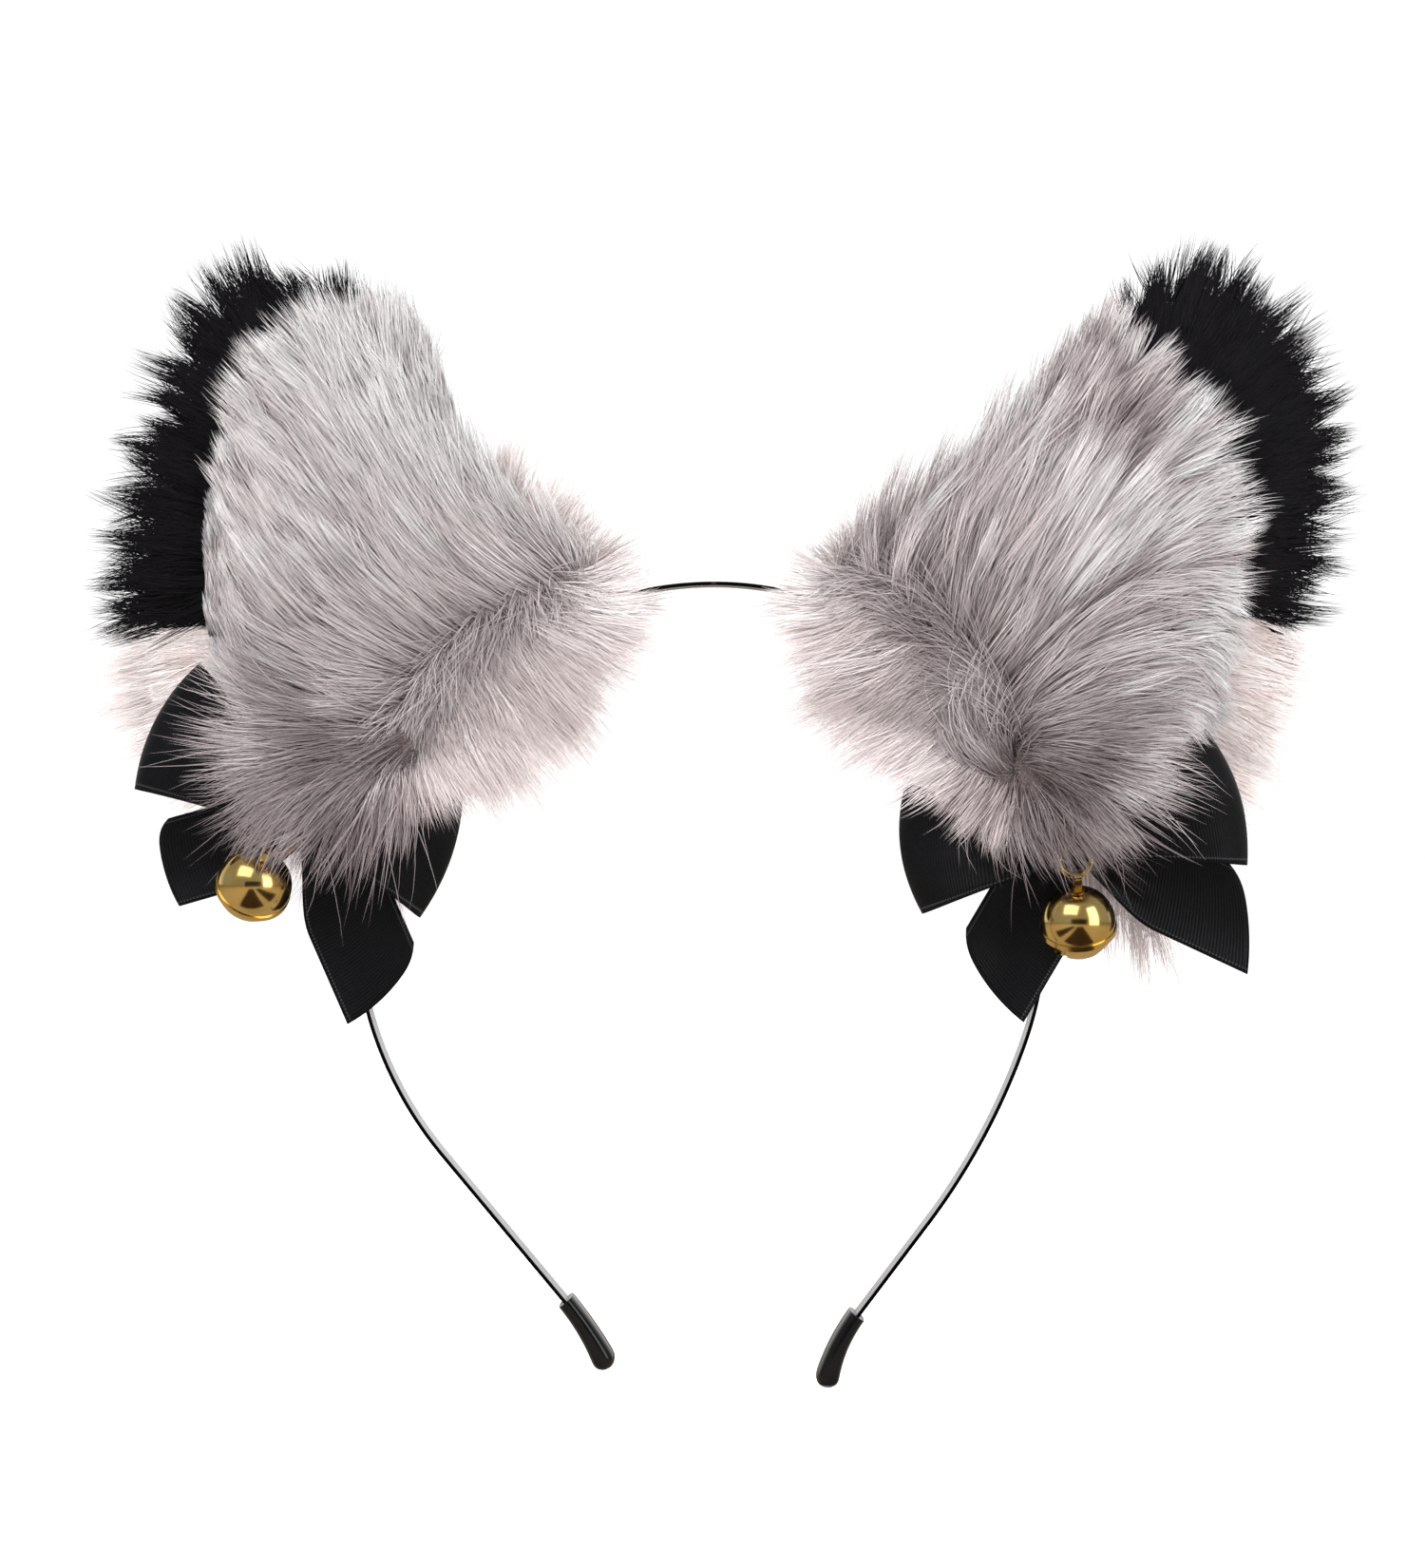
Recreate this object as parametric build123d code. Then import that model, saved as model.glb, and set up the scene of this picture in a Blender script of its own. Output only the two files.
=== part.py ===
from build123d import *
import math
import os

# Animal-ears headband: a sprung steel strip over the head, two faux-fur ears sewn round it,
# a satin bow on the foot of each ear and a jingle bell hanging from each bow.
# Millimetres. +Z is up as worn, the front of the ears faces -Y, and the origin is on the inner
# face of the strip at the top of the head. "left" is the side at -X and "right" the side at +X.

# ---- steel band -------------------------------------------------------------------------------
BAND_THICKNESS = 0.7
BAND_WIDTH = 5.5
CROWN_END = 72.0            # degrees from the top, where the flexing leg begins
FLEX_GAP = 0.36             # length left out at the flexing point
TIP_LENGTH = 14.0
TIP_OVERLAP = 10.5          # how far the strip reaches into its end tip
TIP_MOUTH = 2.8             # thickness of the end tip at its mouth
TIP_BULB = 3.7              # thickness of the end tip at its round end
TIP_WIDTH = 7.2
TIP_EDGE_ROUND = 1.1

# ---- ears -------------------------------------------------------------------------------------
SLEEVE_START = 16.0         # degrees from the top, at the crown end of the ear's base
SLEEVE_END = 62.0
PANEL_END = 66.0
SLEEVE_OUTER = (2.4, 2.6, 4.8)      # outwards, inwards and half width, from the strip's middle
SLEEVE_INNER = (1.5, 1.5, 3.85)      # the tunnel's room, the same way
PANEL_FOOT = 2.8            # how far outside the strip's middle the panels begin
FRONT_PANEL = (-9.0, -3.6)  # front and back of each layer, along Y
FOAM_CORE = (-3.4, 3.4)
BACK_PANEL = (3.6, 16.0)
STITCH_RADIUS = 0.4
STITCH_INSET = 1.5
STITCHES_PER_EDGE = 9

# ---- bows -------------------------------------------------------------------------------------
RIBBON = 0.6
LOOP_LAYER = (-17.6, -10.8)
TAIL_LAYER = (-10.4, -9.8)
KNOT_LAYER = (-18.8, -9.2)
KNOT_SIZE = 10.0
KNOT_ROUND = 0.5
GATHER = 2.8                # half width of the ribbon where the knot gathers it
SEWING_RADIUS = 0.6
SEWING_ROOM = 0.06

# ---- bells ------------------------------------------------------------------------------------
BELL_RADIUS = 6.25
BELL_WALL = 0.5
SEAM_LATITUDE = 14.0        # degrees below the middle, where the upper shell is rolled over the lower
SEAM_RAISE = 0.35
SEAM_HEIGHT = 0.9
SLOT_WIDTH = 1.3
SLOT_END_RADIUS = 1.25
SLOT_END_ANGLE = 52.0       # degrees from the lower pole to each round slot end
EYE_BAR = 0.6
EYE_WIDTH = 3.4
EYE_HEIGHT = 4.3
EYE_DEPTH = 1.2
EYE_POST = 0.7
RING_RADIUS = 2.6
RING_WIRE = 0.45
THREAD_WIRE = 0.3
THREAD_LOOP = 2.0
RING_PLANE = -23.6
HANG_GAP = 0.05
PELLET_RADIUS = 1.8
PELLET_REACH = 3.7          # from the bell's centre to the pellet's centre

# The strip's resting bend and the two handmade ears differ a little from side to side.
# Runs along a leg are (radius, turn in degrees), or (length, 0) where it is straight. Each
# outline is listed from the crown end of the ear's base, over its tip, to its outer foot.
LEFT = {
    "name": "left",
    "sign": -1,
    "crown_radius": 62.0,
    "leg": [(55.5, 37.0), (66.0, 20.5), (33.0, 0)],
    "tip_turn": -16.0,
    "inner_edge": [(24, 8), (33, 15), (41, 24), (45.5, 36)],
    "tip": (48, 50),
    "outer_edge": [(58, 52), (68, 48), (77, 40), (84, 30), (88, 18), (90, 3), (89.5, -12),
                   (86.5, -27), (80, -39), (72, -46), (64.5, -43)],
    "back_tip": (50, 53),
    "back_outer": [(62, 57), (76, 57), (90, 56), (96, 46), (100, 32), (104, 16), (104, 2)],
    "parting_outer": (99, -7),
    "parting_inner": (30, 9.5),
    "foot_edge": [(101, -18), (97, -31), (87, -42), (74, -47), (65, -43)],
    "core_inner": [(30, 4), (39, 13), (48, 26)],
    "core_tip": (53, 42),
    "core_outer": [(62, 43), (71, 36), (79, 22), (83, 3), (81, -16), (72, -31), (63, -36)],
    "knot": (-68.8, -41.0),
    "loops": [(145.0, 28.6, 11.8), (-8.0, 25.3, 11.8)],
    "tails": [(195.0, 25.3, 8.3), (-64.0, 31.2, 8.3)],
    "bell": (-77.2, -51.2),
    "ring_turn": -32.0,
    "bell_lean": 45.0,
}
RIGHT = {
    "name": "right",
    "sign": 1,
    "crown_radius": 57.0,
    "leg": [(62.4, 37.0), (115.0, 17.8), (20.0, 0)],
    "tip_turn": -27.0,
    "inner_edge": [(24.4, 7), (34.3, 14.5), (47.5, 26), (59, 39)],
    "tip": (68, 50),
    "outer_edge": [(75, 41), (81, 32), (87.5, 22), (91.5, 9), (91.5, -6), (90, -17),
                   (86, -29), (79, -41), (71.5, -49.5), (65, -47)],
    "back_tip": (66, 52),
    "back_outer": [(76, 58), (89, 60), (99, 51), (106, 39), (109, 24), (108, 8)],
    "parting_outer": (103, -5),
    "parting_inner": (30, 11),
    "foot_edge": [(101, -18), (96, -34), (87, -44), (74, -49), (62, -46)],
    "core_inner": [(30, 4), (40, 13), (52, 24)],
    "core_tip": (64, 37),
    "core_outer": [(73, 30), (81, 18), (85, 4), (84, -12), (78, -27), (69, -37), (60, -37)],
    "knot": (61.2, -44.2),
    "loops": [(182.0, 29.2, 11.2), (18.0, 27.7, 11.7)],
    "tails": [(-118.0, 29.2, 7.8), (-24.0, 32.0, 8.3)],
    "bell": (60.8, -57.4),
    "ring_turn": 6.0,
    "bell_lean": 33.0,
}


# ---- paths in the plane of the band ------------------------------------------------------------
# A heading is the angle in degrees from straight down, positive towards the middle of the head.
def inward(heading):
    """Across the strip, towards the head."""
    turn = math.radians(heading)
    return Vector(-math.cos(turn), 0, math.sin(turn))


def onward(heading):
    """Along the strip, towards its tip."""
    turn = math.radians(heading)
    return Vector(-math.sin(turn), 0, -math.cos(turn))


def follow(point, heading, runs):
    """Stations (point, heading) at the start, middle and end of each run."""
    stations = []
    for size, turn in runs:
        if turn == 0:
            middle = (point + onward(heading) * (size / 2), heading)
            end = (point + onward(heading) * size, heading)
        else:
            radius = math.copysign(size, turn)
            centre = point + inward(heading) * radius
            middle, end = [
                (centre - inward(h) * radius, h) for h in (heading + turn / 2, heading + turn)
            ]
        stations.append(((point, heading), middle, end))
        point, heading = end
    return stations


def crown_station(side, angle):
    """A point on the middle of the strip over the head, that many degrees from the top."""
    heading = angle - 90
    centre = Vector(0, 0, BAND_THICKNESS / 2 - side["crown_radius"])
    return centre - inward(heading) * side["crown_radius"], heading


def crown_run(side, start, end):
    point, heading = crown_station(side, start)
    return follow(point, heading, [(side["crown_radius"], end - start)])


def on_side(point, side):
    return Vector(point.X * side["sign"], point.Y, point.Z)


def edge_along(stations, shift, side):
    """The curve beside a path, shifted towards the head."""
    edges = []
    for station in stations:
        a, b, c = [on_side(p + inward(h) * shift, side) for p, h in station]
        straight = station[0][1] == station[2][1]
        edges.append(Line(a, c) if straight else ThreePointArc(a, b, c))
    return edges


def bar_along(stations, outward, towards_head, half_width, side):
    """A bar of rectangular section that follows a path."""
    outer = edge_along(stations, -outward, side)
    inner = edge_along(stations, towards_head, side)
    caps = [Line(outer[0] @ 0, inner[0] @ 0), Line(outer[-1] @ 1, inner[-1] @ 1)]
    return plate(outer + inner + caps, -half_width, half_width)


def plate(edges, y_low, y_high):
    """A flat outline given a thickness along Y."""
    face = make_face(edges)
    return extrude(Pos(0, y_low, 0) * face, amount=y_high - y_low, dir=(0, 1, 0))


def rod(start, end, radius):
    direction = Vector(*end) - Vector(*start)
    profile = Plane(origin=start, z_dir=direction) * Circle(radius)
    return extrude(profile, amount=direction.length)


# ---- steel band and end tips -------------------------------------------------------------------
def band_crown():
    half = BAND_THICKNESS / 2
    halves = [
        bar_along(crown_run(side, 0, CROWN_END), half, half, BAND_WIDTH / 2, side)
        for side in (LEFT, RIGHT)
    ]
    return halves[0] + halves[1]


def leg_stations(side, tip_reach):
    """The leg from the flexing gap to a given distance inside the end tip."""
    gap_angle = math.degrees(FLEX_GAP / side["crown_radius"])
    point, heading = crown_station(side, CROWN_END + gap_angle)
    bend = TIP_LENGTH / math.radians(abs(side["tip_turn"]))
    return follow(point, heading, side["leg"] + [(bend, side["tip_turn"] * tip_reach / TIP_LENGTH)])


def band_leg(side):
    half = BAND_THICKNESS / 2
    return bar_along(leg_stations(side, TIP_OVERLAP), half, half, BAND_WIDTH / 2, side)


def end_tip(side):
    """A dipped sleeve over the strip's end, with a fuller rounded end."""
    start, middle, end = leg_stations(side, TIP_LENGTH - TIP_BULB / 2)[-1]
    halves = (TIP_MOUTH / 2, (TIP_MOUTH + TIP_BULB) / 4 - 0.1, TIP_BULB / 2)
    outer, inner = [
        [on_side(p + inward(h) * way * half, side) for (p, h), half in zip((start, middle, end), halves)]
        for way in (-1, 1)
    ]
    nose = on_side(end[0] + onward(end[1]) * (TIP_BULB / 2), side)
    edges = [
        ThreePointArc(*outer),
        ThreePointArc(*inner),
        Line(outer[0], inner[0]),
        ThreePointArc(outer[2], nose, inner[2]),
    ]
    body = plate(edges, -TIP_WIDTH / 2, TIP_WIDTH / 2)
    faces = body.faces().sort_by(Axis.Y)
    body = fillet(faces[0].edges() + faces[-1].edges(), TIP_EDGE_ROUND)
    return body - band_leg(side)


# ---- ears --------------------------------------------------------------------------------------
def base_sleeve(side):
    """The cloth tunnel at the ear's base that the strip runs through, with room to tilt."""
    out, towards_head, half_width = SLEEVE_OUTER
    tunnel_out, tunnel_in, tunnel_half = SLEEVE_INNER
    outside = bar_along(crown_run(side, SLEEVE_START, SLEEVE_END), out, towards_head, half_width, side)
    longer = crown_run(side, SLEEVE_START - 1, SLEEVE_END + 1)
    return outside - bar_along(longer, tunnel_out, tunnel_in, tunnel_half, side)


def outline_points(side, pairs):
    """Outline points, whose first number is the distance from the middle of the headband."""
    return [Vector(x * side["sign"], 0, z) for x, z in pairs]


def base_edge(side, start, end):
    """The edge of a panel just outside the sleeve."""
    return edge_along(crown_run(side, start, end), -PANEL_FOOT, side)[0]


def closed_outline(side, base, inner, tip, outer):
    """An outline from the base edge up the inner side, over the tip and down the outer side."""
    tip_point = outline_points(side, [tip])[0]
    inner_edge = Spline(base @ 0, *outline_points(side, inner), tip_point)
    outer_edge = Spline(tip_point, *outline_points(side, outer), base @ 1)
    return [base, inner_edge, outer_edge]


def ear_front_panel(side):
    base = base_edge(side, SLEEVE_START, PANEL_END)
    edges = closed_outline(side, base, side["inner_edge"], side["tip"], side["outer_edge"])
    x, z = side["knot"]
    front, back = FRONT_PANEL
    needle_hole = rod((x, front - 1, z), (x, back + 1, z), SEWING_RADIUS + SEWING_ROOM)
    return plate(edges, front, back) - needle_hole


def ear_foam_core(side):
    """The soft sheet inside that keeps the ear upright."""
    base = base_edge(side, SLEEVE_START + 4, SLEEVE_END)
    edges = closed_outline(side, base, side["core_inner"], side["core_tip"], side["core_outer"])
    return plate(edges, *FOAM_CORE)


def ear_back_panel(side):
    """The upper back of the ear, above the seam that joins the two furs."""
    start, tip, end = outline_points(side, [side["parting_inner"], side["back_tip"], side["parting_outer"]])
    inner = Spline(start, *outline_points(side, side["inner_edge"][2:]), tip)
    outer = Spline(tip, *outline_points(side, side["back_outer"]), end)
    return plate([inner, outer, Line(end, start)], *BACK_PANEL)


def ear_back_foot(side):
    """The lower back of the ear, below the seam that joins the two furs."""
    base = base_edge(side, SLEEVE_START, PANEL_END)
    parting_inner, parting_outer = outline_points(side, [side["parting_inner"], side["parting_outer"]])
    outer = Spline(parting_outer, *outline_points(side, side["foot_edge"]), base @ 1)
    return plate([base, Line(base @ 0, parting_inner), Line(parting_inner, parting_outer), outer], *BACK_PANEL)


def ear_seam_stitches(side):
    """Threads that draw the front and back of the ear together round its edge."""
    base = base_edge(side, SLEEVE_START, PANEL_END)
    _, inner, outer = closed_outline(
        side, base, side["inner_edge"], side["tip"], side["outer_edge"]
    )
    middle = outline_points(side, [(62, 4)])[0]
    stitches = []
    for edge in (inner, outer):
        for number in range(STITCHES_PER_EDGE):
            point = edge @ ((number + 1) / (STITCHES_PER_EDGE + 1))
            point += (middle - point).normalized() * STITCH_INSET
            ends = [(point.X, y, point.Z) for y in (FRONT_PANEL[1], BACK_PANEL[0])]
            stitches.append(rod(*ends, STITCH_RADIUS))
    return Compound(children=stitches)


# ---- bows --------------------------------------------------------------------------------------
def fan(knot, angle, length, half_width, start_half, bulge, layer, start=0.0):
    """A ribbon end as it shows from the front: narrow at the knot and widening outwards."""
    along = Vector(math.cos(math.radians(angle)), 0, math.sin(math.radians(angle)))
    across = Vector(-along.Z, 0, along.X)
    centre = Vector(knot[0], 0, knot[1])
    near = [centre + along * start + across * (way * start_half) for way in (-1, 1)]
    far = [centre + along * length + across * (way * half_width) for way in (-1, 1)]
    tip = centre + along * (length + bulge)
    edges = [Line(near[0], near[1]), Line(near[1], far[1]), Line(near[0], far[0])]
    edges.append(ThreePointArc(far[0], tip, far[1]))
    return plate(edges, *layer)


def bow_loops(side):
    """One ribbon folded into two open loops that meet inside the knot."""
    front, back = LOOP_LAYER
    x, z = side["knot"]
    loops = rod((x, front, z), (x, back, z), GATHER)
    for angle, length, half_width in side["loops"]:
        loops += fan(side["knot"], angle, length, half_width, GATHER, 1.5, LOOP_LAYER)
        hollow = (front + RIBBON, back - RIBBON)
        loops -= fan(side["knot"], angle, length - RIBBON, half_width * 3, 3 * GATHER, 1.5, hollow,
                     KNOT_SIZE / 2)
    return loops


def bow_tails(side):
    """The second ribbon, behind the loops, cut at a slant at both ends."""
    tails = None
    for angle, length, half_width in side["tails"]:
        tail = fan(side["knot"], angle, length, half_width, GATHER, 0.8, TAIL_LAYER)
        tails = tail if tails is None else tails + tail
    return tails


def bow_knot(side):
    """The short ribbon wrapped round the middle of the loops and tails."""
    front, back = KNOT_LAYER
    block = Box(KNOT_SIZE, back - front, KNOT_SIZE)
    block = fillet(block.edges(), KNOT_ROUND)
    place = Pos(side["knot"][0], (front + back) / 2, side["knot"][1])
    wrap = place * block - bow_loops(side) - bow_tails(side)
    return wrap.solids().sort_by(SortBy.VOLUME)[-1]


def bow_sewing(side):
    """The bundle of thread that sews the knot to the ear, and that the bow can turn about."""
    x, z = side["knot"]
    return rod((x, KNOT_LAYER[1], z), (x, FRONT_PANEL[1], z), SEWING_RADIUS)


# ---- bells -------------------------------------------------------------------------------------
def bell_frame(side):
    """The plane at a bell's centre: Z runs up through the eye and X along the ring's lowest wire."""
    x, z = side["bell"]
    turn = math.radians(side["ring_turn"])
    lean = math.radians(side["bell_lean"])
    up = Vector(-math.sin(turn), 0, math.cos(turn))
    eye = up * math.cos(lean) - Vector(0, math.sin(lean), 0)
    wire = Vector(math.cos(turn), 0, math.sin(turn))
    reach = BELL_RADIUS + EYE_HEIGHT - EYE_BAR / 2 - hang_step(EYE_BAR / 2)
    y = RING_PLANE + reach * math.sin(lean)
    return Plane(origin=(x, y, z), x_dir=wire, z_dir=eye), up, reach


def hang_step(wire):
    """From the middle of the ring's wire to the middle of what it hangs on or carries."""
    return RING_WIRE + wire + HANG_GAP


def ring_bottom(side):
    frame, _, reach = bell_frame(side)
    return frame.origin + frame.z_dir * reach


def ring_centre(side):
    _, up, _ = bell_frame(side)
    return ring_bottom(side) + up * RING_RADIUS


def thread_point(side):
    """The middle of the thread where the ring hangs on it."""
    _, up, _ = bell_frame(side)
    return ring_centre(side) + up * (RING_RADIUS - hang_step(THREAD_WIRE))


def jump_ring(side):
    plane = Plane(origin=ring_centre(side), x_dir=(1, 0, 0), z_dir=(0, 1, 0))
    return plane * Torus(RING_RADIUS, RING_WIRE)


def ring_thread(side):
    """A loop of thread on the front of the knot, which the ring hangs on."""
    low = thread_point(side)
    face = KNOT_LAYER[0]
    bend = RING_PLANE - 0.6
    lower = [Vector(low.X, y, low.Z) for y in (face, bend)]
    upper = [point + Vector(0, 0, 2 * THREAD_LOOP) for point in lower]
    outermost = Vector(low.X, bend - THREAD_LOOP, low.Z + THREAD_LOOP)
    path = Wire([Line(lower[0], lower[1]), ThreePointArc(lower[1], outermost, upper[1]),
                 Line(upper[1], upper[0])])
    section = Plane(origin=lower[0], z_dir=(0, -1, 0)) * Circle(THREAD_WIRE)
    return sweep(section, path=path)


def shell(start, end, outer, inner):
    """Part of a hollow ball, between two angles in degrees from its top."""
    corners = []
    for radius in (outer, inner):
        for angle in (start, (start + end) / 2, end):
            turn = math.radians(angle)
            corners.append(Vector(radius * math.sin(turn), 0, radius * math.cos(turn)))
    profile = make_face([
        ThreePointArc(*corners[:3]),
        Line(corners[2], corners[5]),
        ThreePointArc(*corners[3:]),
        Line(corners[3], corners[0]),
    ])
    return revolve(profile, Axis.Z, 360)


def bell_upper_shell(side):
    """The upper cup, with its rolled rim and the hole for the eye's post."""
    hole = math.degrees(math.asin(EYE_POST / BELL_RADIUS))
    cup = shell(hole, 90 + SEAM_LATITUDE, BELL_RADIUS, BELL_RADIUS - BELL_WALL)
    seam_z = -BELL_RADIUS * math.sin(math.radians(SEAM_LATITUDE))
    rim_radius = BELL_RADIUS * math.cos(math.radians(SEAM_LATITUDE))
    rim = Pos(0, 0, seam_z + SEAM_HEIGHT / 2) * (
        Cylinder(rim_radius + SEAM_RAISE, SEAM_HEIGHT) - Cylinder(rim_radius, SEAM_HEIGHT)
    )
    return bell_frame(side)[0] * (cup + rim)


def bell_lower_shell(side):
    """The lower cup, with a crossed slot that ends in round holes."""
    cup = shell(90 + SEAM_LATITUDE, 180 - 0.01, BELL_RADIUS, BELL_RADIUS - BELL_WALL)
    end_angle = math.radians(SLOT_END_ANGLE)
    reach = BELL_RADIUS * math.sin(end_angle)
    for quarter in range(4):
        arm = Pos(reach / 2, 0, -BELL_RADIUS) * Box(reach, SLOT_WIDTH, 1.4 * BELL_RADIUS)
        tilted = Rot(0, 180 - SLOT_END_ANGLE, 0) * Pos(0, 0, BELL_RADIUS) * Cylinder(SLOT_END_RADIUS, 3)
        cup -= Rot(0, 0, 45 + 90 * quarter) * (arm + tilted)
    return bell_frame(side)[0] * cup


def bell_eye(side):
    """The strap eye on top of the bell, with its post and the washer clenched inside."""
    inner_radius = EYE_WIDTH / 2 - EYE_BAR
    lift = BELL_RADIUS + EYE_HEIGHT - EYE_WIDTH / 2
    foot = BELL_RADIUS + 0.1
    outer = [
        ThreePointArc((0, -EYE_WIDTH / 2, lift), (0, 0, lift + EYE_WIDTH / 2), (0, EYE_WIDTH / 2, lift)),
        Line((0, EYE_WIDTH / 2, lift), (0, EYE_POST, foot)),
        Line((0, EYE_POST, foot), (0, -EYE_POST, foot)),
        Line((0, -EYE_POST, foot), (0, -EYE_WIDTH / 2, lift)),
    ]
    loop = extrude(Pos(-EYE_DEPTH / 2, 0, 0) * make_face(outer), amount=EYE_DEPTH, dir=(1, 0, 0))
    window = Pos(0, 0, lift) * Rot(0, 90, 0) * Cylinder(inner_radius, 2 * EYE_DEPTH)
    window += Pos(0, 0, lift - 0.8) * Rot(0, 90, 0) * Cylinder(inner_radius * 0.8, 2 * EYE_DEPTH)
    wall_low = BELL_RADIUS - BELL_WALL - 0.35
    post = Pos(0, 0, (wall_low + foot) / 2) * Cylinder(EYE_POST - 0.05, foot - wall_low)
    collar = Pos(0, 0, foot + 0.15) * Cylinder(1.3, 0.3)
    washer = Pos(0, 0, wall_low - 0.2) * Cylinder(1.4, 0.4)
    return bell_frame(side)[0] * (loop - window + post + collar + washer)


def bell_pellet(side):
    """The loose ball inside, at rest at the lowest place it can reach."""
    frame, _, _ = bell_frame(side)
    return Pos(*(frame.origin - Vector(0, 0, PELLET_REACH))) * Sphere(PELLET_RADIUS)


# ---- all pieces --------------------------------------------------------------------------------
PIECES = {
    "band_leg": band_leg,
    "end_tip": end_tip,
    "ear_base_sleeve": base_sleeve,
    "ear_front_panel": ear_front_panel,
    "ear_foam_core": ear_foam_core,
    "ear_back_panel": ear_back_panel,
    "ear_back_foot": ear_back_foot,
    "ear_seam_stitches": ear_seam_stitches,
    "bow_loops": bow_loops,
    "bow_tails": bow_tails,
    "bow_knot": bow_knot,
    "bow_sewing": bow_sewing,
    "ring_thread": ring_thread,
    "jump_ring": jump_ring,
    "bell_eye": bell_eye,
    "bell_upper_shell": bell_upper_shell,
    "bell_lower_shell": bell_lower_shell,
    "bell_pellet": bell_pellet,
}

os.makedirs("parts", exist_ok=True)
export_step(band_crown(), "parts/band_crown.step")
for side in (LEFT, RIGHT):
    for name, make in PIECES.items():
        export_step(make(side), f"parts/{side['name']}_{name}.step")
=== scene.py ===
import math
import bpy
import numpy as np
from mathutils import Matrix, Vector
from mathutils.bvhtree import BVHTree


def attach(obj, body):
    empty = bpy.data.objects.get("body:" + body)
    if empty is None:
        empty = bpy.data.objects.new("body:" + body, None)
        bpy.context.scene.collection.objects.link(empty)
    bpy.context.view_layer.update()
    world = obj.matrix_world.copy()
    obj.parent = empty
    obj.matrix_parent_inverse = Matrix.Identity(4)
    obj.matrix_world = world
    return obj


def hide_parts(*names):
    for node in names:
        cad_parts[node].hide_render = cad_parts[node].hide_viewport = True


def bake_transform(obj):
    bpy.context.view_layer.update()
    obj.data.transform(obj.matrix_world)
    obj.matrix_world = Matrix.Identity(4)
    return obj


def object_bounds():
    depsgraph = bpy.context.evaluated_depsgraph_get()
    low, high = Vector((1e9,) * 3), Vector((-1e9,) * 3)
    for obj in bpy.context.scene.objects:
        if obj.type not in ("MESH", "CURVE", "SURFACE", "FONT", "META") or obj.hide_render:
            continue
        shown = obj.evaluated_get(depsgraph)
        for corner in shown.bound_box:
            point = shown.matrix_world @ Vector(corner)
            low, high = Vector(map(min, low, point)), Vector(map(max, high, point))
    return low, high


# Looks of the animal-ears headband: fur, satin, gold, steel. Working lengths are millimetres in the
# part's own frame and become metres in new_piece(). "left" is the side at -X.
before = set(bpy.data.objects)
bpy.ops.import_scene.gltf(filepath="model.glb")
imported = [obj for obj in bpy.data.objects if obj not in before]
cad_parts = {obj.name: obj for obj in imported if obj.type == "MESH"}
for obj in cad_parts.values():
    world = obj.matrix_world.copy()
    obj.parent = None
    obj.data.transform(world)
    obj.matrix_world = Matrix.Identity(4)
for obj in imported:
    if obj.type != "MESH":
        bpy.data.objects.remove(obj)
cad_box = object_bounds()
MM = 0.001

# ---- measures ---------------------------------------------------------------------------------
STRIP = (0.35, 2.75, 0.16)          # half thickness, half width, edge round
CROWN_TURN = 72.0
FLEX_GAP = 0.36
TIP_LENGTH = 14.0
KNOT_Y = (-18.8, -9.2)
LOOP_Y = (-17.5, -10.9)
TAIL_Y = -10.1
GATHER = 2.8                        # half width of a ribbon where the knot gathers it
BOW_TURNS = (-6, -3, 0, 3, 6)       # degrees, over the range of the bows' joints
LEG_REACH = 6.5                     # room under the tips at rest, as flexed legs reach lower

# Each run of a leg is (radius, turn in degrees), or (length, 0) where it is straight.
BAND = {
    "left": {"sign": -1, "radius": 62.0, "tip_turn": -16.0, "leg": [(55.5, 37.0), (66.0, 20.5), (33.0, 0)]},
    "right": {"sign": 1, "radius": 57.0, "tip_turn": -27.0, "leg": [(62.4, 37.0), (115.0, 17.8), (20.0, 0)]},
}

# Outlines of the stuffed parts of each ear, from the crown end over the tip to the outer foot.
EAR = {
    "left": {
        "front": [(-21, 2), (-27, 8.5), (-34.5, 13.5), (-42, 22.5), (-46, 32), (-50.5, 42.5), (-59, 45),
                  (-67, 42), (-75.5, 34), (-82, 24), (-86, 12), (-87.6, 0), (-86.6, -12), (-82, -23),
                  (-75, -31.5), (-68, -36.5), (-61, -36.5)],
        "back": [(-35, 8), (-43, 15), (-51, 26), (-55, 38), (-61, 47.5), (-73, 49.5), (-83, 48), (-88.5, 39),
                 (-92.5, 28), (-96, 14), (-97, 1), (-92, -6.5), (-72, -3), (-52, 3)],
        "foot": [(-26, 4), (-34, 7), (-48, 3), (-70, -3), (-91, -6.5), (-95, -17), (-91, -29), (-83, -38),
                 (-73, -42.5), (-64, -39)],
        "sleeve": (16.0, 63.0),
        "middle": (-62, 4), "back_middle": (-72, 22), "foot_middle": (-68, -16),
    },
    "right": {
        "front": [(21, 2), (27, 7), (36, 13.5), (48, 24), (58, 35), (66.5, 43.5), (72.5, 37.5), (78, 29),
                  (83, 19), (86.5, 8), (88, -5), (87, -17), (83.5, -27), (77, -35.5), (69, -41), (61, -40)],
        "back": [(42, 7), (53, 15), (64, 27), (70, 39), (76, 48), (86, 50), (94, 44.5), (100, 34), (102, 21),
                 (99, 8), (94, -5), (78, -2), (54, 4)],
        "foot": [(26, 4), (34, 7), (50, 4), (75, -1), (97, -6), (98, -17), (93.5, -31), (85.5, -41),
                 (74, -45.5), (62, -43)],
        "sleeve": (16.0, 63.0),
        "middle": (62, 4), "back_middle": (76, 24), "foot_middle": (70, -18),
    },
}

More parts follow.
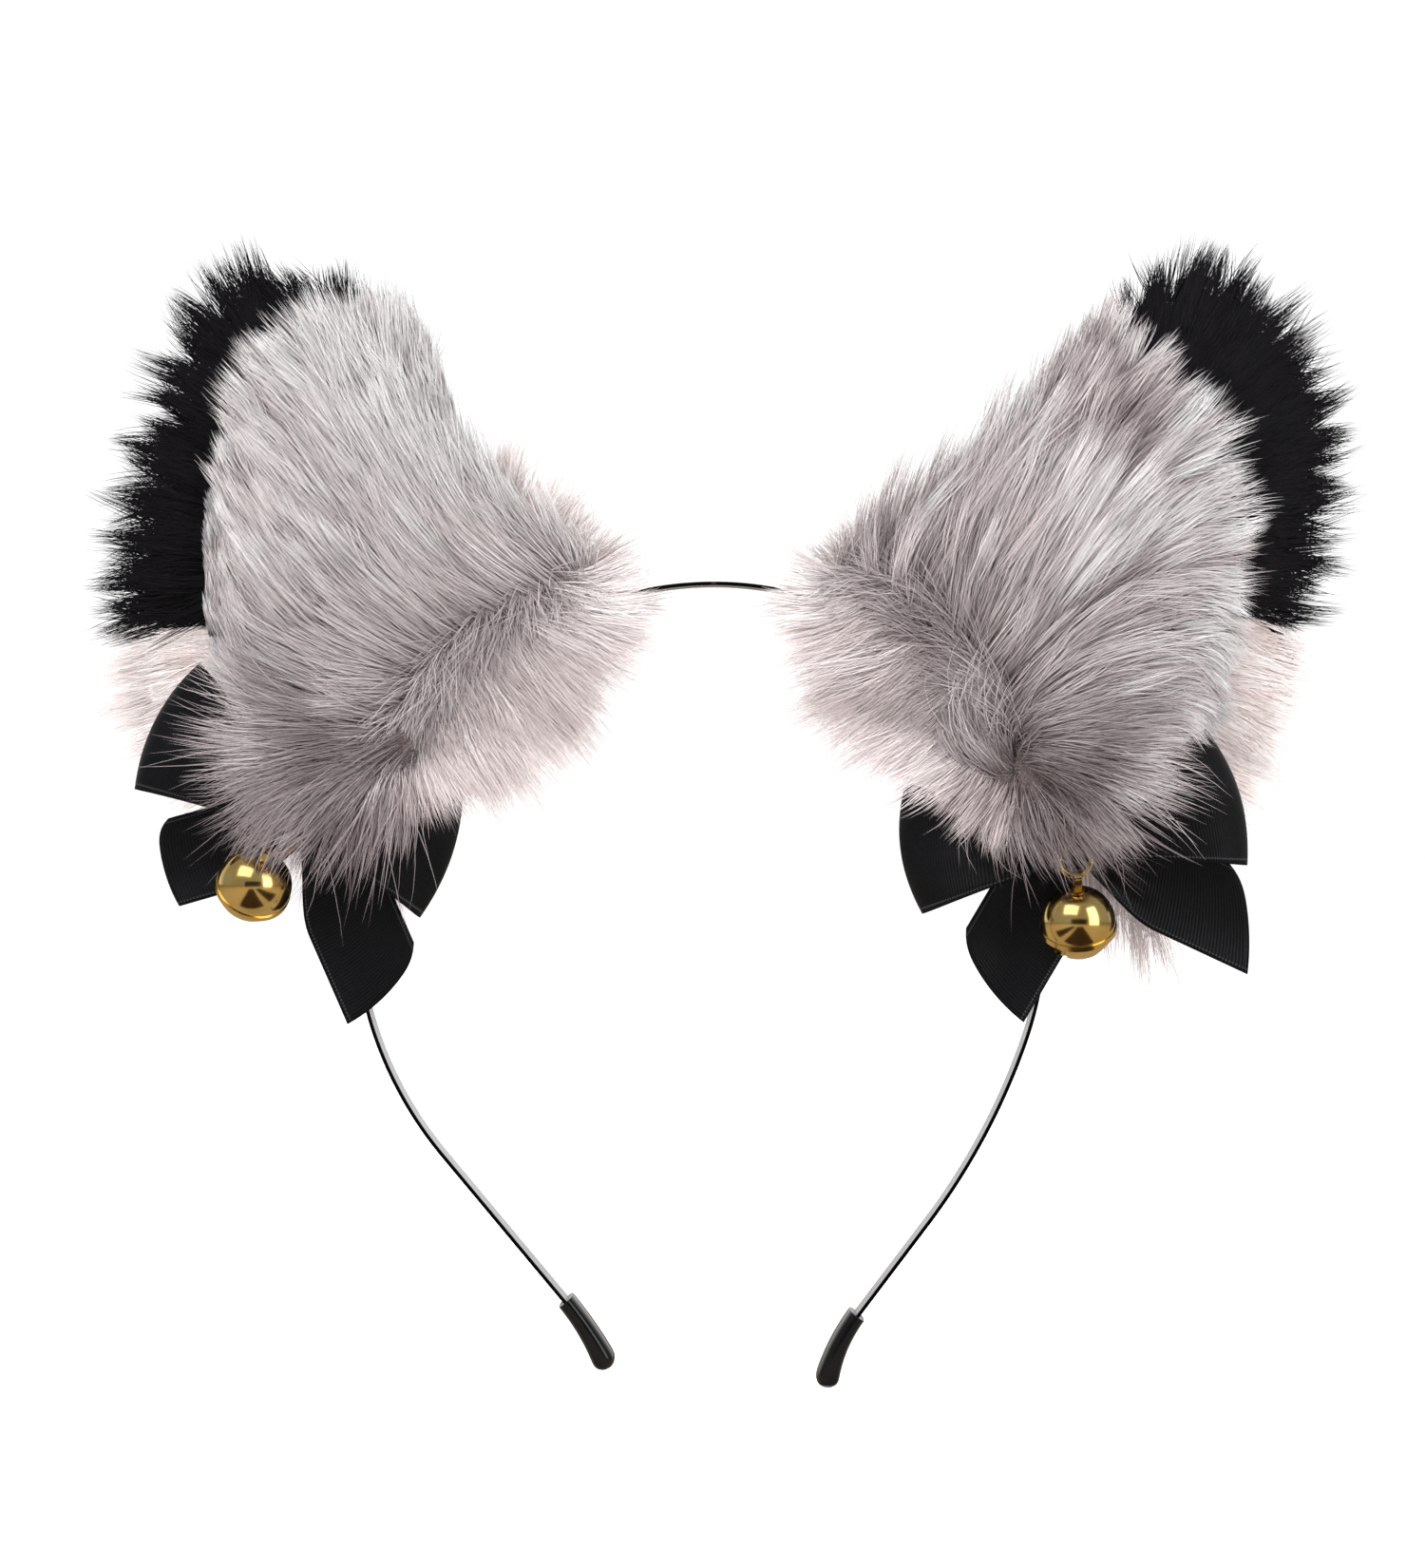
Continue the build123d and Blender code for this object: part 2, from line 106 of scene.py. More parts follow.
# Each loop and tail is (direction in degrees, length, half width, slant of its end).
BOW = {
    "left": {"knot": (-68.8, -41.0), "loops": [(145.0, 28.6, 11.8, -1.6), (-9.0, 22.8, 12.6, 1.6)],
             "tails": [(196.0, 24.8, 7.4, 0.3), (-66.0, 30.6, 8.0, -3.2)]},
    "right": {"knot": (61.2, -44.2), "loops": [(182.0, 27.4, 11.0, -1.0), (17.0, 26.2, 12.0, 0.0)],
              "tails": [(-121.0, 27.2, 8.3, 3.5), (-25.0, 31.5, 7.9, -4.6)]},
}


# ---- small helpers ----------------------------------------------------------------------------
def new_piece(name, verts, faces, material, smooth=True):
    """A mesh object from points in millimetres."""
    mesh = bpy.data.meshes.new(name)
    mesh.from_pydata([tuple(v) for v in np.asarray(verts, float) * MM], [], faces)
    mesh.polygons.foreach_set("use_smooth", [smooth] * len(faces))
    mesh.update()
    piece = bpy.data.objects.new(name, mesh)
    bpy.context.scene.collection.objects.link(piece)
    if material:
        mesh.materials.append(material)
    return piece


def ride(piece, body, slot, *nodes):
    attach(piece, body)
    if nodes:
        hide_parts(*nodes)
    return piece


def smooth_line(points, per_run=8, closed=False):
    """A Catmull-Rom curve through points."""
    p = np.asarray(points, float)
    before = np.vstack([p[-1:] if closed else 2 * p[:1] - p[1:2], p])
    after = np.vstack([p[:2] if closed else 2 * p[-1:] - p[-2:-1]])
    p = np.vstack([before, after])
    runs = len(p) - 3
    t = np.linspace(0, 1, per_run, endpoint=False)[:, None]
    out = []
    for i in range(runs):
        a, b, c, d = p[i:i + 4]
        out.append(0.5 * (2 * b + (c - a) * t + (2 * a - 5 * b + 4 * c - d) * t ** 2
                          + (3 * b - a - 3 * c + d) * t ** 3))
    line = np.vstack(out)
    return line if closed else np.vstack([line, p[-2:-1]])


def distance_along(line):
    """How far along a line each of its points is."""
    return np.concatenate([[0], np.cumsum(np.linalg.norm(np.diff(line, axis=0), axis=1))])


def evenly(line, count, closed=True):
    """The same line with evenly spaced points."""
    p = np.vstack([line, line[:1]]) if closed else line
    run = distance_along(p)
    at = np.linspace(0, run[-1], count, endpoint=not closed)
    return np.stack([np.interp(at, run, p[:, k]) for k in range(p.shape[1])], axis=1)


def loft(rings, cap=True):
    """Vertices and faces of a tube through rings of equal size."""
    n, k = len(rings[0]), len(rings)
    verts = np.vstack(rings)
    faces = []
    for i in range(k - 1):
        for j in range(n):
            a, b = i * n + j, i * n + (j + 1) % n
            faces.append((a, b, b + n, a + n))
    if cap:
        faces.append(tuple(range(n))[::-1])
        faces.append(tuple(range((k - 1) * n, k * n)))
    return verts, faces


def grid_faces(rows, columns):
    return [(i * columns + j, i * columns + j + 1, (i + 1) * columns + j + 1, (i + 1) * columns + j)
            for i in range(rows - 1) for j in range(columns - 1)]


# ---- shader helpers ---------------------------------------------------------------------------
def material(name, **settings):
    m = bpy.data.materials.new(name)
    m.use_nodes = True
    shader = m.node_tree.nodes["Principled BSDF"]
    for key, value in settings.items():
        shader.inputs[key.replace("_", " ")].default_value = value
    return m, m.node_tree, shader


def node(tree, kind, inputs=None, **settings):
    n = tree.nodes.new(kind)
    for key, value in settings.items():
        setattr(n, key, value)
    for key, value in (inputs or {}).items():
        if isinstance(value, bpy.types.NodeSocket):
            tree.links.new(value, n.inputs[key])
        else:
            n.inputs[key].default_value = value
    return n


def ramp(tree, factor, stops):
    n = node(tree, "ShaderNodeValToRGB", {"Fac": factor})
    band = n.color_ramp
    while len(band.elements) < len(stops):
        band.elements.new(0.5)
    for element, (place, colour) in zip(band.elements, stops):
        element.position = place
        element.color = (*colour, 1)
    return n.outputs["Color"]


def mix(tree, kind, factor, a, b):
    n = node(tree, "ShaderNodeMix", data_type="RGBA", blend_type=kind)
    n.inputs[0].default_value = factor
    for socket, value in ((n.inputs[6], a), (n.inputs[7], b)):
        if isinstance(value, bpy.types.NodeSocket):
            tree.links.new(value, socket)
        else:
            socket.default_value = (*value, 1)
    return n.outputs[2]


def bump(tree, shader, height, strength, distance):
    n = node(tree, "ShaderNodeBump", {"Height": height, "Strength": strength, "Distance": distance})
    tree.links.new(n.outputs["Normal"], shader.inputs["Normal"])


def place(tree, scale=(1, 1, 1)):
    at = node(tree, "ShaderNodeTexCoord").outputs["Object"]
    return node(tree, "ShaderNodeMapping", {"Vector": at, "Scale": scale}).outputs["Vector"]


def noise(tree, vector, scale, detail=3.0):
    cloud = node(tree, "ShaderNodeTexNoise", {"Vector": vector, "Scale": scale, "Detail": detail})
    return cloud.outputs["Fac"]


# ---- materials --------------------------------------------------------------------------------
def srgb(*values):
    return tuple((v / 255 / 12.92) if v < 11 else ((v / 255 + 0.055) / 1.055) ** 2.4 for v in values)


def hair_material(name, roots, tips, patches, roughness=0.5, gloss=0.2):
    """Fibres: darker at the root as painted shade deep in the pile, a shade of their own each, and warmer and
    darker in patches: a mauve tint, with painted shade where shade falls in the crease, the partings and the
    whorl.
    """
    m, tree, shader = material(name, Roughness=roughness, Specular_IOR_Level=gloss)
    hair = node(tree, "ShaderNodeAttribute", attribute_name="hair")
    parts = node(tree, "ShaderNodeSeparateColor", {"Color": hair.outputs["Color"]})
    middle = tuple((a * 0.4 + b * 0.6) for a, b in zip(roots, tips))
    # roots to tips: painted shade, darker deep in the pile at the root
    colour = ramp(tree, parts.outputs[0], [(0.0, roots), (0.4, middle), (1.0, tips)])
    # the patches ramp by shade value: a mauve tint, and painted shade in the crease, partings and whorl
    colour = mix(tree, "MULTIPLY", 1.0, colour, ramp(tree, parts.outputs[2], patches))
    shades = [(0.0, (0.6, 0.58, 0.58)), (0.5, (0.95, 0.95, 0.95)), (1.0, (1.3, 1.3, 1.3))]
    own = ramp(tree, parts.outputs[1], shades)
    colour = mix(tree, "MULTIPLY", 1.0, colour, own)
    tree.links.new(colour, shader.inputs["Base Color"])
    return m


def fabric_material(name, dark, light):
    """The knitted backing under the pile."""
    m, tree, shader = material(name, Roughness=0.95, Specular_IOR_Level=0.1)
    at = place(tree)
    patches = noise(tree, at, 900.0)
    tree.links.new(ramp(tree, patches, [(0.3, dark), (0.7, light)]), shader.inputs["Base Color"])
    knit = node(tree, "ShaderNodeTexVoronoi", {"Vector": at, "Scale": 1400.0})
    bump(tree, shader, knit.outputs["Distance"], 0.5, 0.0003)
    return m


def satin_material():
    """Black satin with fine cross ribs, a woven selvedge and soft sheen."""
    m, tree, shader = material("black_satin", Roughness=0.34, Specular_IOR_Level=0.1)
    at = node(tree, "ShaderNodeUVMap", uv_map="ribbon").outputs["UV"]
    ribs = node(tree, "ShaderNodeTexWave", {"Vector": at, "Scale": 58.0, "Distortion": 0.5, "Detail": 1.0},
                bands_direction="X")
    axes = node(tree, "ShaderNodeSeparateXYZ", {"Vector": at})
    edge = node(tree, "ShaderNodeMath", {0: axes.outputs["Y"], 1: 0.5}, operation="SUBTRACT")
    edge = node(tree, "ShaderNodeMath", {0: edge.outputs[0]}, operation="ABSOLUTE")
    stops = [(0.0, (0, 0, 0)), (0.452, (0, 0, 0)), (0.46, (1, 1, 1)), (0.472, (0, 0, 0))]
    line = ramp(tree, edge.outputs[0], stops)
    weave = mix(tree, "MULTIPLY", 1.0, line, ribs.outputs["Color"])
    cloudy = noise(tree, at, 60.0)
    base = ramp(tree, cloudy, [(0.3, (0.0018, 0.0018, 0.0022)), (0.7, (0.003, 0.003, 0.0036))])
    ridge = mix(tree, "MULTIPLY", 1.0, ribs.outputs["Color"], (0.003, 0.003, 0.0034))
    base = mix(tree, "ADD", 1.0, base, ridge)
    colour = mix(tree, "ADD", 1.0, base, mix(tree, "MULTIPLY", 1.0, weave, (0.045, 0.045, 0.048)))
    tree.links.new(colour, shader.inputs["Base Color"])
    bump(tree, shader, mix(tree, "ADD", 1.0, ribs.outputs["Color"], line), 0.35, 0.00012)
    return m


def gold_material():
    """Bright plated brass, faintly dulled in patches."""
    m, tree, shader = material("bell_gold", Metallic=1.0)
    at = place(tree)
    patches = noise(tree, at, 260.0)
    tree.links.new(ramp(tree, patches, [(0.3, (0.77, 0.52, 0.17)), (0.7, (0.87, 0.65, 0.26))]),
                   shader.inputs["Base Color"])
    rough = node(tree, "ShaderNodeMapRange", {"Value": noise(tree, at, 700.0), "To Min": 0.1, "To Max": 0.2})
    tree.links.new(rough.outputs["Result"], shader.inputs["Roughness"])
    bump(tree, shader, noise(tree, at, 160.0, 1.0), 0.25, 0.0002)
    return m


def steel_material(name, low, high, bright, edge):
    """Rolled steel with fine lines along its length; faces that look along Y, the strip's edges, are darkened
    by edge, a painted reflection of the dark studio towards the camera.
    """
    m, tree, shader = material(name, Metallic=1.0)
    at = place(tree, (1, 18, 1))
    lines = noise(tree, at, 420.0)
    face = ramp(tree, lines, [(0.3, low), (0.7, high)])
    normal = node(tree, "ShaderNodeTexCoord").outputs["Normal"]
    facing = node(tree, "ShaderNodeSeparateXYZ", {"Vector": normal})
    side = node(tree, "ShaderNodeMath", {0: facing.outputs["Y"]}, operation="ABSOLUTE")
    # painted reflection: faces turned along Y are darkened to edge
    shade = ramp(tree, side.outputs[0], [(0.0, (1, 1, 1)), (0.55, (1, 1, 1)), (0.75, (edge, edge, edge))])
    tree.links.new(mix(tree, "MULTIPLY", 1.0, face, shade), shader.inputs["Base Color"])
    rough = node(tree, "ShaderNodeMapRange", {"Value": lines, "To Min": bright, "To Max": bright + 0.12})
    tree.links.new(rough.outputs["Result"], shader.inputs["Roughness"])
    bump(tree, shader, lines, 0.12, 0.0001)
    return m


def rubber_material():
    """Dipped black vinyl, glossy with slight ripples."""
    m, tree, shader = material("tip_vinyl", Specular_IOR_Level=0.32, Coat_Weight=0.1, Coat_Roughness=0.05)
    at = place(tree)
    base = ramp(tree, noise(tree, at, 300.0), [(0.3, (0.002, 0.002, 0.0024)), (0.7, (0.004, 0.004, 0.0045))])
    tree.links.new(base, shader.inputs["Base Color"])
    ripples = noise(tree, at, 500.0)
    rough = node(tree, "ShaderNodeMapRange", {"Value": ripples, "To Min": 0.07, "To Max": 0.14})
    tree.links.new(rough.outputs["Result"], shader.inputs["Roughness"])
    bump(tree, shader, noise(tree, at, 180.0), 0.15, 0.0003)
    return m


def thread_material():
    """Black twisted thread."""
    m, tree, shader = material("black_thread", Roughness=0.6)
    twist = node(tree, "ShaderNodeTexWave", {"Vector": place(tree), "Scale": 500.0, "Distortion": 2.0},
                 bands_direction="DIAGONAL")
    stops = [(0.0, (0.004, 0.004, 0.004)), (1.0, (0.02, 0.02, 0.02))]
    tree.links.new(ramp(tree, twist.outputs["Fac"], stops), shader.inputs["Base Color"])
    bump(tree, shader, twist.outputs["Fac"], 0.5, 0.0002)
    return m


# Ramps by a fibre's shade value: a mauve or rosy tint, and painted shade at the dark end, where shade falls
# in the crease, the partings and the whorl.
MAUVE_AND_PAINTED_SHADE = [(0.0, (0.19, 0.14, 0.14)), (0.3, (0.52, 0.45, 0.455)), (0.6, (0.82, 0.745, 0.75)),
         (0.85, (0.94, 0.93, 0.93)), (1.0, (1, 1, 1))]
ROSY_AND_PAINTED_SHADE = [(0.0, (0.36, 0.29, 0.29)), (0.4, (0.76, 0.69, 0.685)), (0.75, (0.97, 0.94, 0.935)), (1.0, (1, 1, 1))]
EVEN = [(0.0, (0.75, 0.72, 0.73)), (1.0, (1, 1, 1))]
LILAC = hair_material("lilac_pile", srgb(126, 117, 117), srgb(222, 221, 221), MAUVE_AND_PAINTED_SHADE)
SOFT_LILAC = hair_material("soft_lilac_pile", srgb(168, 157, 156), srgb(250, 248, 248), ROSY_AND_PAINTED_SHADE)
RIM = hair_material("trimmed_pile", srgb(128, 127, 129), srgb(198, 198, 200), EVEN)
BLACK = hair_material("black_pile", srgb(2, 2, 3), srgb(20, 18, 22), EVEN, 0.42, 0.13)
PALE = hair_material("pale_pile", srgb(198, 182, 178), srgb(251, 248, 247), ROSY_AND_PAINTED_SHADE)
LILAC_BACKING = fabric_material("lilac_backing", srgb(112, 102, 104), srgb(146, 135, 137))
BLACK_BACKING = fabric_material("black_backing", srgb(10, 9, 10), srgb(26, 24, 26))
PALE_BACKING = fabric_material("pale_backing", srgb(188, 172, 168), srgb(220, 207, 203))
SATIN = satin_material()
GOLD = gold_material()
STEEL_WITH_PAINTED_DARK_EDGES = steel_material("spring_steel_painted_dark_edges", (0.36, 0.36, 0.37), (0.48, 0.48, 0.49), 0.16, 0.03)
PELLET = steel_material("pellet_steel", (0.25, 0.25, 0.26), (0.40, 0.40, 0.41), 0.3, 1.0)
VINYL = rubber_material()
THREAD = thread_material()


# ---- band -------------------------------------------------------------------------------------
def centreline(side):
    """(points, headings) down the middle of the strip, from the top of the head to the very tip."""
    spec = BAND[side]
    crown = (math.radians(CROWN_TURN) * spec["radius"] + FLEX_GAP)
    runs = [(crown, CROWN_TURN + math.degrees(FLEX_GAP / spec["radius"]))]
    runs += [(math.radians(turn) * size, turn) if turn else (size, 0) for size, turn in spec["leg"]]
    runs.append((TIP_LENGTH, spec["tip_turn"]))
    point, heading, points, headings = np.array([0.0, STRIP[0]]), -90.0, [], []
    for length, turn in runs:
        steps = max(2, round(length / 0.7))
        for _ in range(steps):
            points.append(point.copy())
            headings.append(heading)
            way = math.radians(heading + turn / steps / 2)
            point = point + np.array([-math.sin(way), -math.cos(way)]) * length / steps
            heading += turn / steps
    points.append(point.copy())
    headings.append(heading)
    points = np.array(points)
    points[:, 0] *= spec["sign"]
    return points, np.array(headings)


def across(side, headings):
    """Unit vectors (x, z) from the strip towards the head."""
    h = np.radians(headings)
    return np.stack([-np.cos(h) * BAND[side]["sign"], np.sin(h)], axis=1)


def along_strip(side):
    """(points, unit vectors towards the head, distances along) down the middle of the strip."""
    points, headings = centreline(side)
    return points, across(side, headings), distance_along(points)


def at_distance(s, run, values):
    return [np.interp(s, run, values[:, k]) for k in (0, 1)]


def strip_section():
    """The strip's section as (towards the head, y) pairs, with rounded edges."""
    t, w, r = STRIP
    corners = [(t - r, w - r, 0), (-t + r, w - r, 90), (-t + r, -w + r, 180), (t - r, -w + r, 270)]
    return [(x + r * math.cos(math.radians(a + b)), y + r * math.sin(math.radians(a + b)))
            for x, y, a in corners for b in (0, 45, 90)]


def ring_at(point, inward, section):
    return np.array([(point[0] + inward[0] * a, y, point[1] + inward[1] * a) for a, y in section])


def make_band(side):
    points, inward, run = along_strip(side)
    keep = np.nonzero(run <= run[-1] - TIP_LENGTH + 9.0)[0]
    rings = [ring_at(points[i], inward[i], strip_section()) for i in keep]
    if side == "left":
        rings = [r[::-1] for r in rings]
    verts, faces = loft(rings)
    piece = new_piece(f"{side}_strip", verts, faces, STEEL_WITH_PAINTED_DARK_EDGES)
    piece.modifiers.new("normals", "WEIGHTED_NORMAL").weight = 90
    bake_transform(piece)
    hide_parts("band_crown", f"{side}_band_leg")
    return piece


def make_tip(side):
    """The dipped sleeve: a thin mouth, a slight swell, and a full round end."""
    points, inward, run = along_strip(side)
    start = run[-1] - TIP_LENGTH
    rings = []
    for s in [0, 0.12, 0.35, 1.2, 3, 5, 7, 9, 10.5, 11.6, 12.5, 13.2, 13.7, 13.95]:
        thick = 1.6 + 0.5 * (s / 12) ** 2
        thick *= 0.93 if s < 0.1 else 1
        left = max(0.0, 1 - max(0.0, s - 11.9) ** 2 / 2.1 ** 2)
        scale = math.sqrt(left) if s > 11.9 else 1.0
        angle = np.linspace(0, 2 * math.pi, 28, endpoint=False)
        c, q = np.cos(angle), np.sin(angle)
        section = zip(np.sign(c) * np.abs(c) ** 0.75 * thick * max(scale, 0.05),
                      np.sign(q) * np.abs(q) ** 0.62 * (3.55 - 1.4 * (1 - scale)) * max(scale, 0.05) ** 0.25)
        at, way = (at_distance(start + s, run, values) for values in (points, inward))
        rings.append(ring_at(at, way, list(section)))
    verts, faces = loft(rings)
    piece = new_piece(f"{side}_vinyl_tip", verts, faces, VINYL)
    piece.modifiers.new("smooth", "SUBSURF").render_levels = 2
    piece.modifiers["smooth"].levels = 1
    return ride(piece, f"{side}_leg", "tip_rubber", f"{side}_end_tip")


def make_sleeve(side):
    """The cloth tunnel round the strip, slightly puckered where it is sewn."""
    points, inward, run = along_strip(side)
    low, high = [math.radians(a) * BAND[side]["radius"] for a in EAR[side]["sleeve"]]
    rings = []
    for s in np.arange(low, high, 0.8):
        angle = np.linspace(0, 2 * math.pi, 32, endpoint=False)
        pucker = 1 + 0.05 * np.sin(s * 1.9) + 0.03 * np.sin(s * 0.7 + 3 * angle)
        section = zip(np.cos(angle) * 2.35 * pucker, np.sin(angle) * 4.7 * pucker)
        at, way = (at_distance(s, run, values) for values in (points, inward))
        rings.append(ring_at(at, way, list(section)))
    verts, faces = loft(rings, cap=False)
    piece = new_piece(f"{side}_ear_sleeve_cloth", verts, faces, LILAC_BACKING)
    return ride(piece, f"{side}_ear", "foam", f"{side}_ear_base_sleeve")


# ---- stuffed ear parts ------------------------------------------------------------------------
def base_points(side, start, end, count=9):
    """Points just outside the sleeve, from the outer foot to the crown end."""
    spec = BAND[side]
    r = spec["radius"] + 2.9
    centre = STRIP[0] - spec["radius"]
    angles = np.radians(np.linspace(end, start, count))
    return np.stack([spec["sign"] * r * np.sin(angles), centre + r * np.cos(angles)], axis=1)


def closed_outline(side, name):
    p = [np.array(q, float) for q in EAR[side][name]]
    if name in ("front", "foot"):
        p += list(base_points(side, 18.0, 62.0))
    return evenly(smooth_line(p, closed=True), 120)


def pad_mesh(outline, middle, edge_y, front, back, rings=12):
    """A crowned closed form over an outline: (verts, faces)."""
    n = len(outline)
    middle = np.array(middle, float)
    verts, faces = [], []
    for y in (front, back):
        for s in np.sin(np.linspace(1, 1 / rings, rings) * math.pi / 2):
            p = middle + (outline - middle) * s
            h = (1 - s ** 2.4) ** 0.55
            verts += [(x, edge_y + (y - edge_y) * h, z) for x, z in p]
        verts.append((middle[0], y, middle[1]))
    half = n * rings + 1
    for k, offset in enumerate((0, half)):
        for i in range(rings - 1):
            for j in range(n):
                a, b = offset + i * n + j, offset + i * n + (j + 1) % n
                f = (a, b, b + n, a + n)
                faces.append(f if k else f[::-1])
        last, tip = offset + (rings - 1) * n, offset + rings * n
        for j in range(n):
            f = (last + j, last + (j + 1) % n, tip)
            faces.append(f if k else f[::-1])
    return np.array(verts), faces


def swell(piece, cap):
    """Cloth under pressure, capped, and then left as a plain mesh."""
    rest = np.array([v.co for v in piece.data.vertices])
    cloth = piece.modifiers.new("swell", "CLOTH")
    cloth.settings.use_pressure = True
    cloth.settings.uniform_pressure_force = 4.0
    cloth.settings.tension_stiffness = 25.0
    cloth.settings.compression_stiffness = 25.0
    cloth.settings.effector_weights.gravity = 0.0
    scene = bpy.context.scene
    for f in range(1, 21):
        scene.frame_set(f)
    bpy.context.view_layer.objects.active = piece
    depsgraph = bpy.context.evaluated_depsgraph_get()
    shape = piece.evaluated_get(depsgraph).to_mesh()
    moved = np.array([v.co for v in shape.vertices]) - rest
    piece.evaluated_get(depsgraph).to_mesh_clear()
    piece.modifiers.remove(cloth)
    scene.frame_set(1)
    size = np.linalg.norm(moved, axis=1, keepdims=True)
    moved *= np.minimum(1, cap * MM / np.maximum(size, 1e-9))
    for vertex, co in zip(piece.data.vertices, rest + moved):
        vertex.co = co
    piece.data.update()


def make_pad(side, part, edge_y, front, back, backing, slot, nodes):
    outline = closed_outline(side, part)
    middle = EAR[side][{"front": "middle", "back": "back_middle", "foot": "foot_middle"}[part]]
    verts, faces = pad_mesh(outline, middle, edge_y, front, back)
    piece = new_piece(f"{side}_ear_{part}_pad", verts, faces, backing)
    weld = piece.modifiers.new("weld", "WELD")
    weld.merge_threshold = 0.00005
    bpy.context.view_layer.update()
    shape = bpy.data.meshes.new_from_object(piece.evaluated_get(bpy.context.evaluated_depsgraph_get()))
    piece.modifiers.clear()
    piece.data = shape
    shape.name = piece.name
    swell(piece, 1.2)
    ride(piece, f"{side}_ear", slot, *(f"{side}_{name}" for name in nodes))
    return piece


# ---- bows -------------------------------------------------------------------------------------
def headings_of(angle):
    a = math.radians(angle)
    return np.array([math.cos(a), math.sin(a)]), np.array([-math.sin(a), math.cos(a)])


def ribbon_piece(name, points, length):
    """A ribbon from a grid of points (along, across), with its weave's own coordinates."""
    rows, columns = points.shape[:2]
    piece = new_piece(name, points.reshape(-1, 3), grid_faces(rows, columns), SATIN)
    layer = piece.data.uv_layers.new(name="ribbon")
    along = np.repeat(np.linspace(0, length / 100, rows), columns)
    wide = np.tile(np.linspace(0, 1, columns), rows)
    index = np.zeros(len(piece.data.loops), np.int32)
    piece.data.loops.foreach_get("vertex_index", index)
    layer.data.foreach_set("uv", np.stack([along[index], wide[index]], axis=1).ravel())
    thick = piece.modifiers.new("ribbon", "SOLIDIFY")
    thick.thickness = 0.00035
    thick.offset = 0
    return piece


def make_loop(side, number, angle, length, half, slant):
    """One loop: out along the front, round its end and back behind."""
    way, wide = headings_of(angle)
    knot = np.array(BOW[side]["knot"])
    u = np.linspace(0.0, 1.0, 57)
    v = np.linspace(-1, 1, 25)
    out = np.sin(math.pi * u) ** 0.62
    middle = (LOOP_Y[0] + LOOP_Y[1]) / 2
    depth = (LOOP_Y[1] - LOOP_Y[0]) / 2 - 0.25
    points = np.zeros((len(u), len(v), 3))
    for i, a in enumerate(u):
        reach = out[i] * (length + (2.3 * (1 - v ** 2) + slant * v) * out[i] ** 3)
        width = GATHER + (half - GATHER) * out[i] ** 1.15
        at = knot + reach[:, None] * way + (v * width)[:, None] * wide
        fold = -math.sin(2 * math.pi * a) * depth
        pleat = 0.55 * np.cos(v * 3 * math.pi + number) * (1 - out[i])
        pleat += 0.55 * np.sin(v * 4 + 2 * number) * out[i]
        points[i, :, 0], points[i, :, 2] = at[:, 0], at[:, 1]
        points[i, :, 1] = middle + fold * (1 - 0.18 * v ** 2) + pleat * abs(math.cos(math.pi * a)) ** 0.5
    piece = ribbon_piece(f"{side}_bow_loop_{number}", points, 2.15 * length)
    nodes = [f"{side}_bow_loops"] if number == 1 else []
    ride(piece, f"{side}_bow", "satin", *nodes)
    return piece


def make_tail(side, number, angle, length, half, slant):
    way, wide = headings_of(angle)
    knot = np.array(BOW[side]["knot"])
    u = np.linspace(0.0, 1.0, 33)
    v = np.linspace(-1, 1, 25)
    points = np.zeros((len(u), len(v), 3))
    corner = 1.7 * np.maximum(0, -v * math.copysign(1, slant)) ** 6
    for i, a in enumerate(u):
        spread = min(1.0, a * 1.9)
        width = GATHER + (half - GATHER) * (spread * spread * (3 - 2 * spread))
        reach = a * (length + slant * v + 1.3 * (1 - v ** 2) - corner)
        at = knot + reach[:, None] * way + (v * width)[:, None] * wide
        wave = 0.5 * np.sin(v * 2.6 + 1.4 * number) * a + 0.5 * np.cos(v * 3 * math.pi) * (1 - spread)
        points[i, :, 0], points[i, :, 2] = at[:, 0], at[:, 1]
        points[i, :, 1] = TAIL_Y + wave + 0.35 * spread - 0.6 * a * a - 0.6 * a * v ** 2
    piece = ribbon_piece(f"{side}_bow_tail_{number}", points, length)
    nodes = [f"{side}_bow_tails"] if number == 1 else []
    ride(piece, f"{side}_bow", "satin", *nodes)
    return piece


def make_knot(side):
    """The short ribbon round the middle, with the creases of its wrap."""
    x, z = BOW[side]["knot"]
    middle, depth = sum(KNOT_Y) / 2, (KNOT_Y[1] - KNOT_Y[0]) / 2 - 0.3
    u = np.linspace(0, 2 * math.pi, 61)
    v = np.linspace(-1, 1, 21)
    points = np.zeros((len(u), len(v), 3))
    for i, a in enumerate(u):
        c, s = math.cos(a), math.sin(a)
        bulge = 1 - 0.12 * v ** 2 + 0.035 * np.cos(v * 9 + 0.6 * math.sin(2 * a))
        points[i, :, 0] = x + v * (4.4 + 0.5 * abs(s))
        points[i, :, 1] = middle - np.sign(c) * abs(c) ** 0.7 * depth * bulge
        points[i, :, 2] = z + np.sign(s) * abs(s) ** 0.8 * 4.7 * bulge
    piece = ribbon_piece(f"{side}_bow_knot_wrap", points, 33)
    ride(piece, f"{side}_bow", "satin", f"{side}_bow_knot")
    return piece


# ---- CAD pieces that keep their shape ---------------------------------------------------------
def dress(name, mat):
    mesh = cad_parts[name].data
    mesh.materials.clear()
    mesh.materials.append(mat)
    for polygon in mesh.polygons:
        polygon.material_index = 0


# ---- fur --------------------------------------------------------------------------------------
CELL = 1.25                         # side of a square of the height maps


def turned(points, side, angle):
    """Points turned about the bow's own pin, which runs along Y through its knot."""
    x, z = BOW[side]["knot"]
    c, s = math.cos(math.radians(angle)), math.sin(math.radians(angle))
    return [Vector((x + (p.x - x) * c + (p.z - z) * s, p.y, z - (p.x - x) * s + (p.z - z) * c))
            for p in points]


